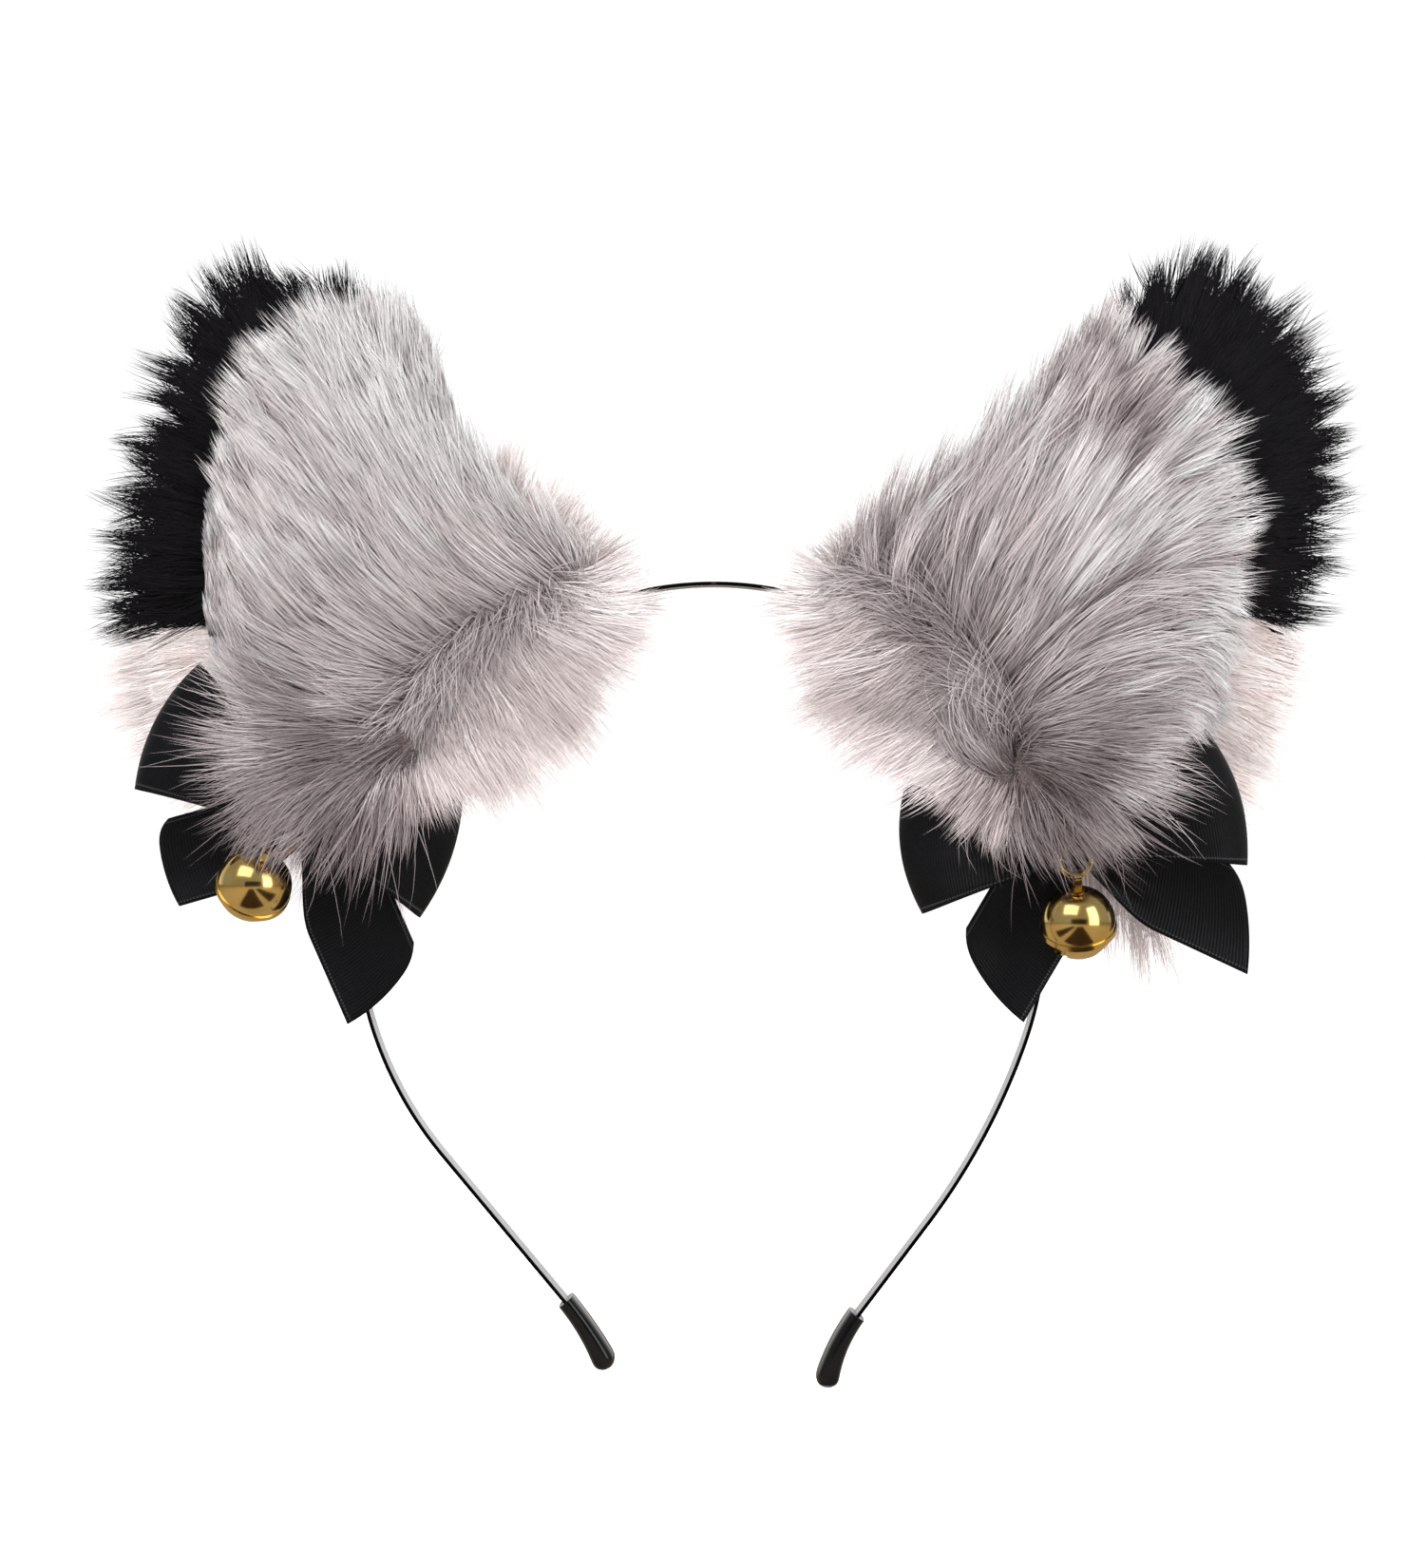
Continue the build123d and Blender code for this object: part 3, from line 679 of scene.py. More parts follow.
def height_map(objects, side, near, turns=(0,)):
    """First surface met by rays along Y, on a grid over one side of the object: (grid, x0, z0).
    Ribbons are met wherever the bow's turns take them."""
    verts, faces = [], []
    depsgraph = bpy.context.evaluated_depsgraph_get()
    for o in objects:
        e = o.evaluated_get(depsgraph)
        mesh = e.to_mesh()
        points = [(e.matrix_world @ v.co) / MM for v in mesh.vertices]
        for angle in turns if "_bow_" in o.name else (0,):
            start = len(verts)
            verts += turned(points, side, angle)
            faces += [[start + i for i in p.vertices] for p in mesh.polygons]
        e.to_mesh_clear()
    tree = BVHTree.FromPolygons(verts, faces)
    sign = BAND[side]["sign"]
    x0, z0 = (5.0 if sign > 0 else -130.0), -90.0
    grid = np.full((101, 133), np.nan)
    for i in range(grid.shape[0]):
        for j in range(grid.shape[1]):
            hit = tree.ray_cast(Vector((x0 + i * CELL, 200 * near, z0 + j * CELL)), Vector((0, -near, 0)))[0]
            if hit:
                grid[i, j] = hit.y
    v = np.array(verts)
    cell = np.round((v[:, [0, 2]] - (x0, z0)) / CELL).astype(int)
    ok = ((cell >= 0) & (cell < grid.shape)).all(1)
    thin = np.full(grid.shape, -np.inf)
    np.maximum.at(thin, tuple(cell[ok].T), near * v[ok, 1])
    best = np.fmax(near * grid, np.where(np.isfinite(thin), thin, np.nan))
    return near * best, x0, z0


def neighbours(grid):
    p = np.pad(grid, 1, mode="edge")
    n, m = grid.shape
    return np.stack([p[i:i + n, j:j + m] for i in range(3) for j in range(3)])


def filled(grid, near, drop=0.25):
    """The map carried on outside the object, falling away a little with each step."""
    g = grid.copy()
    for _ in range(60):
        empty = np.isnan(g)
        if not empty.any():
            break
        around = neighbours(g)
        known = ~np.isnan(around)
        total = np.where(known, around, 0).sum(0)
        count = known.sum(0)
        value = total / np.maximum(count, 1) - near * drop
        g = np.where(empty & (count > 0), value, g)
    g[np.isnan(g)] = 0
    return g


def smoothed(grid, near, grow_by, blur_by):
    g = grid
    for _ in range(grow_by):
        g = neighbours(g).max(0) if near > 0 else neighbours(g).min(0)
    for _ in range(blur_by):
        g = neighbours(g).mean(0)
    return g


def read(map_, points):
    grid, x0, z0 = map_
    fx = np.clip((points[..., 0] - x0) / CELL, 0, grid.shape[0] - 1.001)
    fz = np.clip((points[..., 1] - z0) / CELL, 0, grid.shape[1] - 1.001)
    i, j = fx.astype(int), fz.astype(int)
    a, b = fx - i, fz - j
    return (grid[i, j] * (1 - a) * (1 - b) + grid[i + 1, j] * a * (1 - b)
            + grid[i, j + 1] * (1 - a) * b + grid[i + 1, j + 1] * a * b)


def inside(points, outline):
    x, y = points[:, 0], points[:, 1]
    result = np.zeros(len(points), bool)
    for (x1, y1), (x2, y2) in zip(outline, np.roll(outline, -1, axis=0)):
        crosses = ((y1 > y) != (y2 > y)) & (x < (x2 - x1) * (y - y1) / (y2 - y1 + 1e-12) + x1)
        result ^= crosses
    return result


def scatter(rng, outline, count):
    """Evenly jittered points inside an outline."""
    low, high = outline.min(0), outline.max(0)
    x, y = outline[:, 0], outline[:, 1]
    area = abs((x * np.roll(y, -1) - np.roll(x, -1) * y).sum() / 2)
    step = math.sqrt(area / count)
    nx, ny = np.ceil((high - low) / step).astype(int)
    gx, gy = np.meshgrid(np.arange(nx), np.arange(ny), indexing="ij")
    p = low + (np.stack([gx.ravel(), gy.ravel()], axis=1) + rng.random((nx * ny, 2))) * step
    return p[inside(p, outline)]


def flow(controls, points):
    """Angle, length and shade at points, blended from the nearest controls."""
    c = np.array(controls, float)
    out = []
    for chunk in np.array_split(points, max(1, len(points) // 4000)):
        d2 = ((chunk[:, None, :] - c[None, :, :2]) ** 2).sum(2) + 5.0
        w = d2 ** -2.0
        w /= w.sum(1, keepdims=True)
        a = np.radians(c[:, 2])
        out.append(np.stack([np.arctan2(w @ np.sin(a), w @ np.cos(a)), w @ c[:, 3], w @ c[:, 4]], axis=1))
    return np.vstack(out).T


def nearest(points, guides):
    out = []
    for chunk in np.array_split(points, max(1, len(points) // 3000)):
        out.append(((chunk[:, None, :] - guides[None, :, :]) ** 2).sum(2).argmin(1))
    return np.concatenate(out)


def course(roots, angle, bend, length, t):
    """In-plane paths (strand, step, xz) that turn by bend from root to tip."""
    mid = (t[1:] + t[:-1]) / 2
    way = angle[:, None] + bend[:, None] * mid[None, :]
    step = length[:, None] * np.diff(t)[None, :]
    moves = np.stack([np.cos(way) * step, np.sin(way) * step], axis=2)
    start = np.zeros((len(roots), 1, 2))
    return roots[:, None, :] + np.concatenate([start, np.cumsum(moves, axis=1)], axis=1)


def turn_between(a, b):
    return (b - a + math.pi) % (2 * math.pi) - math.pi


def grow(spec, surface, over, near, seed):
    """Paths (strand, step, xyz) and their shades for one coat of fur."""
    rng = np.random.default_rng(seed)
    outline = evenly(smooth_line(spec["area"], closed=True), 160)
    roots = scatter(rng, outline, spec["count"])
    first = read(over, roots)
    on = read(surface, roots)
    roots = roots[np.abs(first - on) < 2.5] if spec.get("avoid", True) else roots
    guides = scatter(rng, outline, spec["count"] // spec.get("tuft", 26))
    t = np.linspace(0, 1, spec.get("steps", 6))
    tuft = rng.normal(size=(len(guides), 3))
    which = nearest(roots, guides)

    def path(points, tuft_of, spread):
        n = len(points)
        angle, length, shade = flow(spec["controls"], points)
        angle = angle + np.radians(spec.get("tuft_turn", 7.0)) * tuft_of[:, 0] + spread * rng.normal(size=n)
        uneven = 0.12 * tuft_of[:, 1] + spec.get("uneven", 0.16) * rng.normal(size=n)
        length = length * (1 + uneven).clip(0.4, 1.5)
        ahead = points + np.stack([np.cos(angle), np.sin(angle)], axis=1) * length[:, None] * 0.8
        bend = turn_between(flow(spec["controls"], points)[0], flow(spec["controls"], ahead)[0])
        bend = bend + np.radians(6) * rng.normal(size=n)
        return course(points, angle, bend, length, t), shade

    guide_paths, _ = path(guides, tuft, 0.0)
    paths, shade = path(roots, tuft[which], math.radians(spec.get("stray", 5.0)))
    pull = (spec.get("clump", 0.55) * t ** 1.3)[None, :, None]
    gather = guide_paths[which] + (roots - guides[which])[:, None, :] * (1 - 0.8 * t)[None, :, None]
    paths = paths * (1 - pull) + gather * pull
    lift = spec["lift"] * (1 + 0.35 * tuft[which, 2] + 0.3 * rng.normal(size=len(roots))).clip(0.15, 2.0)
    rise = lift[:, None] * (1 - (1 - t) ** 2)[None, :]
    leave = np.minimum(t / spec.get("drape", 0.3), 1)[None, :]
    leave = leave * leave * (3 - 2 * leave)
    y = read(surface, roots)[:, None] * (1 - leave) + read(over, paths) * leave + near * rise
    shade = (shade + spec.get("patchy", 0.08) * tuft[which, 2]).clip(0, 1)
    tone = (spec.get("tone", 0.5) + 0.17 * rng.normal(size=len(roots)) + 0.10 * tuft[which, 1]).clip(0, 1)
    return np.concatenate([paths[..., :1], y[..., None], paths[..., 1:]], axis=2), shade, tone, t, rng


def paired(left, right, tip):
    """Each fibre's left and right points in turn, up to its last step, and then its tip."""
    both = np.stack([left, right], axis=2)[:, :-1]
    return np.concatenate([both.reshape(len(left), -1, 3), tip], axis=1)


def fibre_corners(paths, t, rng, near, width):
    """Corners and normals of flat fibres that taper along their paths."""
    n, k = paths.shape[:2]
    along = np.gradient(paths, axis=1)
    along /= np.linalg.norm(along, axis=2, keepdims=True) + 1e-9
    out = np.tile(np.array([0.0, near, 0.0]), (n, k, 1))
    out += rng.normal(size=(n, 1, 3)) * np.array([0.42, 0.2, 0.42])
    side = np.cross(along, out)
    side /= np.linalg.norm(side, axis=2, keepdims=True) + 1e-9
    face = np.cross(side, along)
    half = (width * (0.75 + 0.5 * rng.random(n))[:, None] * (1 - t ** 1.8)[None, :] * 0.5)[..., None]
    corners = paired(paths - side * half, paths + side * half, paths[:, -1:])
    return corners, paired(face - side * 0.75, face + side * 0.75, face[:, -1:])


def fibre_faces(steps):
    """The corners of one fibre's faces, and how many corners each face has."""
    quads = np.array([[2 * i, 2 * i + 1, 2 * i + 3, 2 * i + 2] for i in range(steps - 2)])
    tip = np.array([2 * (steps - 2), 2 * (steps - 2) + 1, 2 * (steps - 1)])
    return np.concatenate([quads.ravel(), tip]), [4] * (steps - 2) + [3]


def fibre_uvs(cells, columns, at):
    """Each fibre's own small strip of the texture square."""
    u0, v0 = (cells % columns) / columns, (cells // columns) / columns
    du = np.concatenate([np.tile([0.15, 0.85], len(at) // 2), [0.5]])
    dv = 0.1 + 0.8 * at
    return np.stack([u0[:, None] + du[None, :] / columns, v0[:, None] + dv[None, :] / columns], axis=2)


def fibre_mesh(name, verts, loops, totals):
    mesh = bpy.data.meshes.new(name)
    mesh.vertices.add(len(verts))
    mesh.vertices.foreach_set("co", (verts * MM).astype(np.float32).ravel())
    mesh.loops.add(len(loops))
    mesh.loops.foreach_set("vertex_index", loops.astype(np.int32))
    mesh.polygons.add(len(totals))
    starts = np.concatenate([[0], np.cumsum(totals)[:-1]])
    mesh.polygons.foreach_set("loop_start", starts.astype(np.int32))
    mesh.polygons.foreach_set("loop_total", totals.astype(np.int32))
    mesh.polygons.foreach_set("use_smooth", np.ones(len(totals), bool))
    mesh.update(calc_edges=True)
    return mesh


def strands(name, coats, width, mat):
    """One mesh of flat tapering fibres from several coats."""
    verts, normals, hairs, uvs, loops, totals = [], [], [], [], [], []
    base = done = 0
    columns = math.ceil(math.sqrt(sum(len(c[0]) for c in coats)))
    for paths, shade, tone, t, rng, near in coats:
        n = len(paths)
        corners, outward = fibre_corners(paths, t, rng, near, width)
        pattern, sizes = fibre_faces(len(t))
        at = np.concatenate([np.repeat(t[:-1], 2), t[-1:]])
        hair = np.ones((n, len(at), 4))
        hair[..., 0], hair[..., 1], hair[..., 2] = at[None, :], tone[:, None], shade[:, None]
        loops.append((base + np.arange(n)[:, None] * len(at) + pattern[None, :]).ravel())
        totals.append(np.tile(sizes, n))
        uvs.append(fibre_uvs(done + np.arange(n), columns, at)[:, pattern].reshape(-1, 2))
        verts.append(corners.reshape(-1, 3))
        normals.append(outward.reshape(-1, 3))
        hairs.append(hair.reshape(-1, 4))
        base += n * len(at)
        done += n
    mesh = fibre_mesh(name, np.vstack(verts), np.concatenate(loops), np.concatenate(totals))
    layer = mesh.uv_layers.new(name="OFBake")
    layer.data.foreach_set("uv", np.vstack(uvs).astype(np.float32).ravel())
    attribute = mesh.color_attributes.new("hair", "FLOAT_COLOR", "POINT")
    attribute.data.foreach_set("color", np.vstack(hairs).astype(np.float32).ravel())
    normals = np.vstack(normals)
    normals /= np.linalg.norm(normals, axis=1, keepdims=True) + 1e-9
    mesh.normals_split_custom_set_from_vertices(normals.astype(np.float32))
    mesh.materials.append(mat)
    piece = bpy.data.objects.new(name, mesh)
    bpy.context.scene.collection.objects.link(piece)
    return piece


# Each control is x, z, the way the fur lies in degrees, its length, and its shade from 0 to 1: from the
# mauve near the crease to the grey-white of the rim, a tint mixed with painted shade, as low values also
# darken the fur where shade falls in the crease, the partings between the locks and the whorl. Areas bound
# the roots of one coat. The under coat is the fur below the crease, the mane the long locks above it, the
# fringe the fur over the bow, the nape the black fur behind the front panel, the halo and tassel the pale
# tufts that show at the crown end and behind the bell, and the pressed fur is the short flat fur under the
# bow.
LEFT_FRONT = [
    (-51, 47, 92, 10, 0.76), (-57, 45, 100, 10, 0.78), (-65, 43, 116, 10, 0.8), (-75, 37, 136, 10, 0.85),
    (-81, 30, 136, 9, 0.75), (-85, 22, 118, 7, 0.7), (-86, 10, 102, 4.5, 0.65), (-87, 0, 94, 3.8, 0.65),
    (-86, -10, 98, 4.2, 0.65), (-82, -18, 145, 7, 0.6), (-78, -25, 178, 9, 0.5),
    (-75, -32, 200, 10, 0.5), (-71, -36, 220, 11, 0.55), (-66, -39, 240, 11, 0.55),
    (-58, -38, 262, 10, 0.5), (-52, -35, 280, 9, 0.5),
    (-47, 34, 107, 11, 0.8), (-45, 27, 112, 12, 0.8), (-39, 20, 118, 13, 0.85), (-31, 13, 124, 13, 0.8),
    (-24, 7, 112, 12, 0.75), (-19, 2, 70, 10, 0.7), (-17, -1, 20, 10, 0.7),
    (-62, 34, 116, 15, 0.85), (-73, 27, 130, 14, 0.6), (-80, 12, 128, 11, 0.6), (-62, 12, 122, 18, 0.65),
    (-48, 12, 122, 18, 0.7), (-37, 8, 132, 18, 0.65), (-29, 1, 146, 16, 0.55), (-40, -2, 142, 18, 0.55),
    (-55, -2, 129, 18, 0.5), (-69, -2, 130, 17, 0.45), (-80, -3, 125, 9, 0.6), (-76, -13, 150, 14, 0.55),
    (-62, -13, 146, 18, 0.5), (-48, -13, 154, 18, 0.5), (-34, -10, 166, 15, 0.35), (-76, -21, 168, 15, 0.55),
    (-62, -21, 168, 17, 0.5), (-51, -21, 174, 16, 0.42), (-69, -28, 186, 14, 0.5), (-58, -30, 202, 13, 0.45),
    (-51, -32, 238, 11, 0.48), (-25, -6, 180, 10, 0.4),
]
# low shades near the crease are painted shade
LEFT_UNDER = [
    (-49, -27, 290, 11, 0.25), (-41, -19, 300, 18, 0.32), (-33, -12, 311, 18, 0.25), (-27, -7, 326, 14, 0.4),
    (-21, -3, 350, 10, 0.6), (-19, 1, 30, 8, 0.6), (-41, -34, 305, 11, 0.3), (-30, -27, 312, 14, 0.95),
    (-37, -22, 308, 17, 0.44), (-54, -34, 275, 7, 0.0), (-50, -33, 285, 8, 0.05),
]
# low shades around the parting valley and the whorl are painted shade
RIGHT_FRONT = [
    (67, 47, 78, 9, 0.55), (63, 43, 70, 9, 0.5), (56, 36, 62, 10, 0.55), (48, 27, 60, 11, 0.75),
    (37, 18, 60, 13, 0.8), (28, 11, 64, 13, 0.7), (21, 6, 88, 11, 0.65), (16, 2, 130, 10, 0.65),
    (14, -2, 170, 9, 0.65),
    (69, 41, 64, 9, 0.65), (73, 36, 52, 9, 0.75), (79, 31, 40, 10, 0.85), (84, 24, 28, 9, 0.85),
    (87, 17, 18, 8, 0.85), (89, 10, 8, 7, 0.85), (89, 3, -4, 6, 0.9), (89, -4, -45, 3.8, 0.95),
    (88, -14, -60, 3.6, 0.9), (84.5, -25, -50, 4.5, 0.85),
    (70, 30, 58, 10, 0.3), (66, 22, 62, 10, 0.22), (64, 36, 60, 9, 0.35), (78, 20, 40, 14, 0.7),
    (83, 12, 20, 12, 0.75),
    (62, 12, 60, 13, 0.45), (57, 27, 62, 13, 0.38), (49, 20, 62, 16, 0.62), (41, 12, 64, 17, 0.47),
    (34, 5, 68, 17, 0.4), (27, 1, 82, 13, 0.35), (60, 4, 58, 16, 0.35), (71, 9, 42, 17, 0.55),
    (78, 1, 20, 14, 0.6), (84, -6, 6, 8, 0.8), (49, -2, 66, 17, 0.3), (41, -6, 76, 16, 0.3),
    (34, -6, 90, 14, 0.25), (26, -6, 110, 11, 0.3), (57, -6, 54, 16, 0.4), (67, -6, 30, 16, 0.4),
    (53, -17, 60, 15, 0.33), (63, -17, 28, 16, 0.56), (74, -13, 12, 14, 0.65), (81, -17, 4, 7, 0.75),
    (56, -24, 30, 15, 0.48), (66, -24, 8, 14, 0.6), (77, -23, -2, 7, 0.65), (55, -30, -20, 14, 0.26),
    (66, -31, -14, 12, 0.6), (74, -31, -12, 7, 0.55), (56, -35, -62, 11.5, 0.3), (66, -39, -40, 8, 0.45),
    (51, -36, -95, 9, 0.35), (48, -30, 130, 8, 0.4), (60, -39, -60, 8.5, 0.4),
]
# low shades near the crease are painted shade
RIGHT_UNDER = [
    (20, -4, 192, 10, 0.65), (24, -9, 204, 14, 0.45), (31, -14, 213, 17, 0.27), (35, -21, 214, 17, 0.4),
    (42, -27, 216, 14, 0.35), (38, -32, 208, 12, 0.6), (44, -36, 232, 8, 0.1), (50, -40, 250, 6, 0.05),
    (49, -32, 230, 9, 0.15), (27, -4, 205, 12, 0.3),
    (18, 1, 160, 7, 0.8),
]
LEFT_BACK = [
    (-50, 42, 92, 10, 0.6), (-60, 47, 102, 9, 0.6), (-73, 49, 116, 10, 0.6), (-84, 47, 130, 14, 0.6),
    (-92, 38, 150, 12, 0.6), (-96, 26, 164, 11, 0.6), (-99, 13, 172, 12, 0.6), (-99, 1, 180, 14, 0.6),
    (-94, -5, 190, 14, 0.6), (-84, -5, 215, 9, 0.6), (-72, -3, 240, 8, 0.6),
    (-52, 3, 255, 8, 0.6), (-60, 25, 110, 14, 0.5), (-75, 25, 128, 14, 0.5),
    (-85, 12, 150, 14, 0.5), (-70, 4, 140, 14, 0.4), (-45, 15, 112, 13, 0.4), (-32, 9, 118, 12, 0.4),
]
RIGHT_BACK = [
    (70, 42, 80, 12, 0.6), (78, 49, 76, 12, 0.6), (86, 52, 66, 12, 0.6), (96, 45, 46, 12, 0.6),
    (102, 35, 28, 11, 0.6), (104, 22, 12, 11, 0.6), (100, 8, 0, 12, 0.6), (94, -4, -14, 12, 0.6),
    (84, -4, -45, 9, 0.6), (70, -1, -70, 8, 0.6), (54, 4, -80, 8, 0.6), (80, 35, 62, 14, 0.5),
    (90, 20, 30, 14, 0.5), (80, 5, 20, 14, 0.4),
    (60, 20, 66, 13, 0.4), (48, 12, 66, 10, 0.4),
]
LEFT_FOOT = [
    (-92, -8, 190, 19, 0.7), (-96, -17, 196, 18, 0.8), (-92, -30, 206, 14, 0.8), (-84, -38, 224, 12, 0.8),
    (-74, -42, 245, 12, 0.7), (-64, -38, 268, 12, 0.7), (-70, -15, 200, 14, 0.4), (-50, -8, 250, 12, 0.3),
    (-35, 2, 270, 12, 0.4), (-52, -24, 285, 12, 0.5), (-42, -16, 300, 16, 0.7), (-30, -6, 315, 15, 0.8),
    (-80, -26, 210, 14, 0.6),
]
RIGHT_FOOT = [
    (96, -7, -12, 10, 0.7), (97, -17, -16, 10, 0.8), (93, -31, -26, 10, 0.8), (85, -41, -44, 10, 0.8),
    (74, -45, -62, 11, 0.8), (62, -42, -84, 11, 0.7), (75, -16, -20, 12, 0.4), (55, -8, -60, 12, 0.3),
    (38, 2, -90, 12, 0.4), (50, -26, -110, 10, 0.5), (40, -18, -140, 15, 0.7), (28, -6, -150, 15, 0.8),
    (84, -28, -30, 10, 0.6),
]
UNDER_AREA = {
    "left": [(-19, 1), (-22, -5), (-29, -10), (-37, -17), (-45, -26), (-50, -32), (-55, -31), (-52, -24),
             (-45, -12), (-35, -4), (-26, 2)],
    "right": [(18, 1), (20, -4), (26, -10), (33, -17), (40, -26), (47, -38), (52, -38), (51, -26), (44, -15),
              (34, -5), (25, 2)],
}
CREASE_AREA = {
    "left": [(-20, 1), (-28, -3), (-37, -9), (-46, -18), (-52, -28), (-56, -27), (-51, -15), (-42, -5),
             (-31, 2)],
    "right": [(19, 1), (26, -3), (34, -9), (42, -18), (48, -29), (53, -27), (48, -14), (40, -4), (29, 3)],
}
# low shades here are painted shade in the fold of the crease
CREASE = {
    "left": [(-50, -22, 250, 10, 0.52), (-42, -12, 260, 9, 0.4), (-33, -5, 280, 8, 0.35),
             (-22, 0, 320, 7, 0.6)],
    "right": [(48, -22, 150, 10, 0.35), (40, -10, 150, 9, 0.2), (31, -4, 160, 8, 0.3), (21, 0, 190, 7, 0.6)],
}
MANE_AREA = {
    "left": [(-62, -8), (-72, -10), (-76, 0), (-70, 6), (-62, 4), (-56, -2)],
    "right": [(42, -4), (53, -7), (63, -5), (69, 3), (63, 9), (54, 7), (46, 3)],
}
MANE = {
    "left": [(-66, -6, 132, 13, 0.6), (-72, 2, 128, 12, 0.7)],
    "right": [(48, -2, 66, 17, 0.5), (60, 0, 60, 17, 0.7), (67, 4, 52, 16, 0.8)],
}
FRINGE_AREA = {
    "left": [(-73, -27), (-66, -23), (-59, -22), (-52, -26), (-49, -32), (-53, -36), (-62, -39), (-70, -38),
             (-74, -33)],
    "right": [(43, -26), (50, -23), (58, -23), (65, -26), (69, -31), (66, -38), (60, -42), (50, -40),
              (42, -33)],
}
NAPE_AREA = {
    "left": [(-27, 6), (-34, 10), (-42, 20), (-46, 31), (-51, 40), (-58, 44), (-67, 40), (-62, 25), (-46, 9),
             (-34, 4)],
    "right": [(27, 6), (36, 11), (48, 22), (58, 33), (66, 41), (73, 36), (65, 23), (50, 9), (36, 3)],
}
NAPE = {
    "left": [(-34, 10, 128, 7, 0.6), (-44, 24, 112, 7, 0.6), (-50, 38, 104, 6, 0.6), (-62, 38, 120, 9, 0.6),
             (-56, 20, 125, 10, 0.5)],
    "right": [(34, 10, 52, 7, 0.6), (48, 21, 56, 7, 0.6), (62, 37, 58, 6, 0.6), (70, 36, 70, 9, 0.6),
              (56, 16, 56, 10, 0.5)],
}
HALO_AREA = {
    "left": [(-39, 14), (-40, 20), (-33, 15), (-25, 9), (-18, 3), (-16, -3), (-20, -5), (-26, 2)],
    "right": [(38, 13), (28, 9), (20, 4), (16, -2), (19, -6), (26, 0), (36, 6)],
}
HALO = {
    "left": [(-38, 16, 66, 11, 0.8), (-30, 9, 56, 10, 0.8), (-22, 3, 40, 9, 0.7), (-17, -3, -10, 9, 0.7)],
    "right": [(34, 11, 112, 8, 0.9), (24, 6, 128, 8, 0.9), (18, 0, 150, 9, 0.9), (18, -4, 190, 9, 0.9)],
}
TASSEL_AREA = {
    "left": [(-70, -37), (-64, -36), (-59, -37), (-61, -42), (-68, -43)],
    "right": [(62, -41), (69, -40), (74, -42), (71, -46), (64, -46)],
}
TASSEL = {
    "left": [(-68, -40, 262, 16, 0.5), (-62, -40, 284, 20, 0.5)],
    "right": [(64, -43, 268, 15, 0.5), (69, -43, 290, 24, 0.4)],
}
RIM_AREA = {
    "left": [(-87.5, 14), (-88, 0), (-87.2, -12), (-84.6, -20), (-81.5, -19), (-83.8, -10), (-84.6, 0),
             (-84, 12)],
    "right": [(88.6, 2), (87.8, -14), (85.2, -25), (82, -31), (79.2, -29), (82.2, -22), (84.8, -12),
              (85.4, -1)],
}
PRESSED_AREA = {
    "left": [(-86, -12), (-84, -20), (-81, -25), (-75, -31.5), (-67, -36), (-62, -31), (-70, -23),
             (-80, -12)],
    "right": [(87.5, -14), (86, -20), (83, -28), (77, -35), (69, -40.5), (62, -35), (71, -27), (82, -13)],
}
COMB = {
    "left": {"clump": 0.4, "tuft": 26, "uneven": 0.14, "patchy": 0.08},
    "right": {"clump": 0.44, "tuft": 26, "uneven": 0.2, "patchy": 0.15, "tuft_turn": 9.5},
}
# The left rim's trimmed pile gets shade 0 and a darker tone: painted shade, darker than the same pile on the
# right, against the brighter key light on the left.
TRIM_TONE_AND_PAINTED_SHADE = {
    "left": {"shade": 0.0, "tone": 0.25},
    "right": {"shade": 1.0, "tone": 0.5},
}
CONTROLS = {
    "left": {"front": LEFT_FRONT, "under": LEFT_UNDER, "back": LEFT_BACK, "foot": LEFT_FOOT},
    "right": {"front": RIGHT_FRONT, "under": RIGHT_UNDER, "back": RIGHT_BACK, "foot": RIGHT_FOOT},
}
PANEL_END = {"left": -33.0, "right": -36.0}          # the main coat's roots end here, above the bow
FRINGE_LONGER = {"left": 1.5, "right": 0.5}
FRINGE_DARKER_BELOW = {"left": -24, "right": -31}
SEEDS = {"left": 11, "right": 23}


def fur_maps(side, own, others, near, grow_by=0, blur_by=2):
    """Height maps of what a coat grows from and of what it lies over, wherever the bow turns."""
    bare = height_map(own, side, near)
    swept = height_map(own + others, side, near, BOW_TURNS) if others else bare
    surface = (smoothed(filled(bare[0], near), near, 1 if near < 0 else 0, 3), *bare[1:])
    over = (smoothed(filled(swept[0], near), near, grow_by, blur_by), *bare[1:])
    return surface, over


def coat(side, maps, near, number, **spec):
    """One coat of fur, on the face towards near."""
    spec["count"] = int(spec["count"] * (1.0))
    return (*grow(spec, *maps, near, SEEDS[side] + number), near)


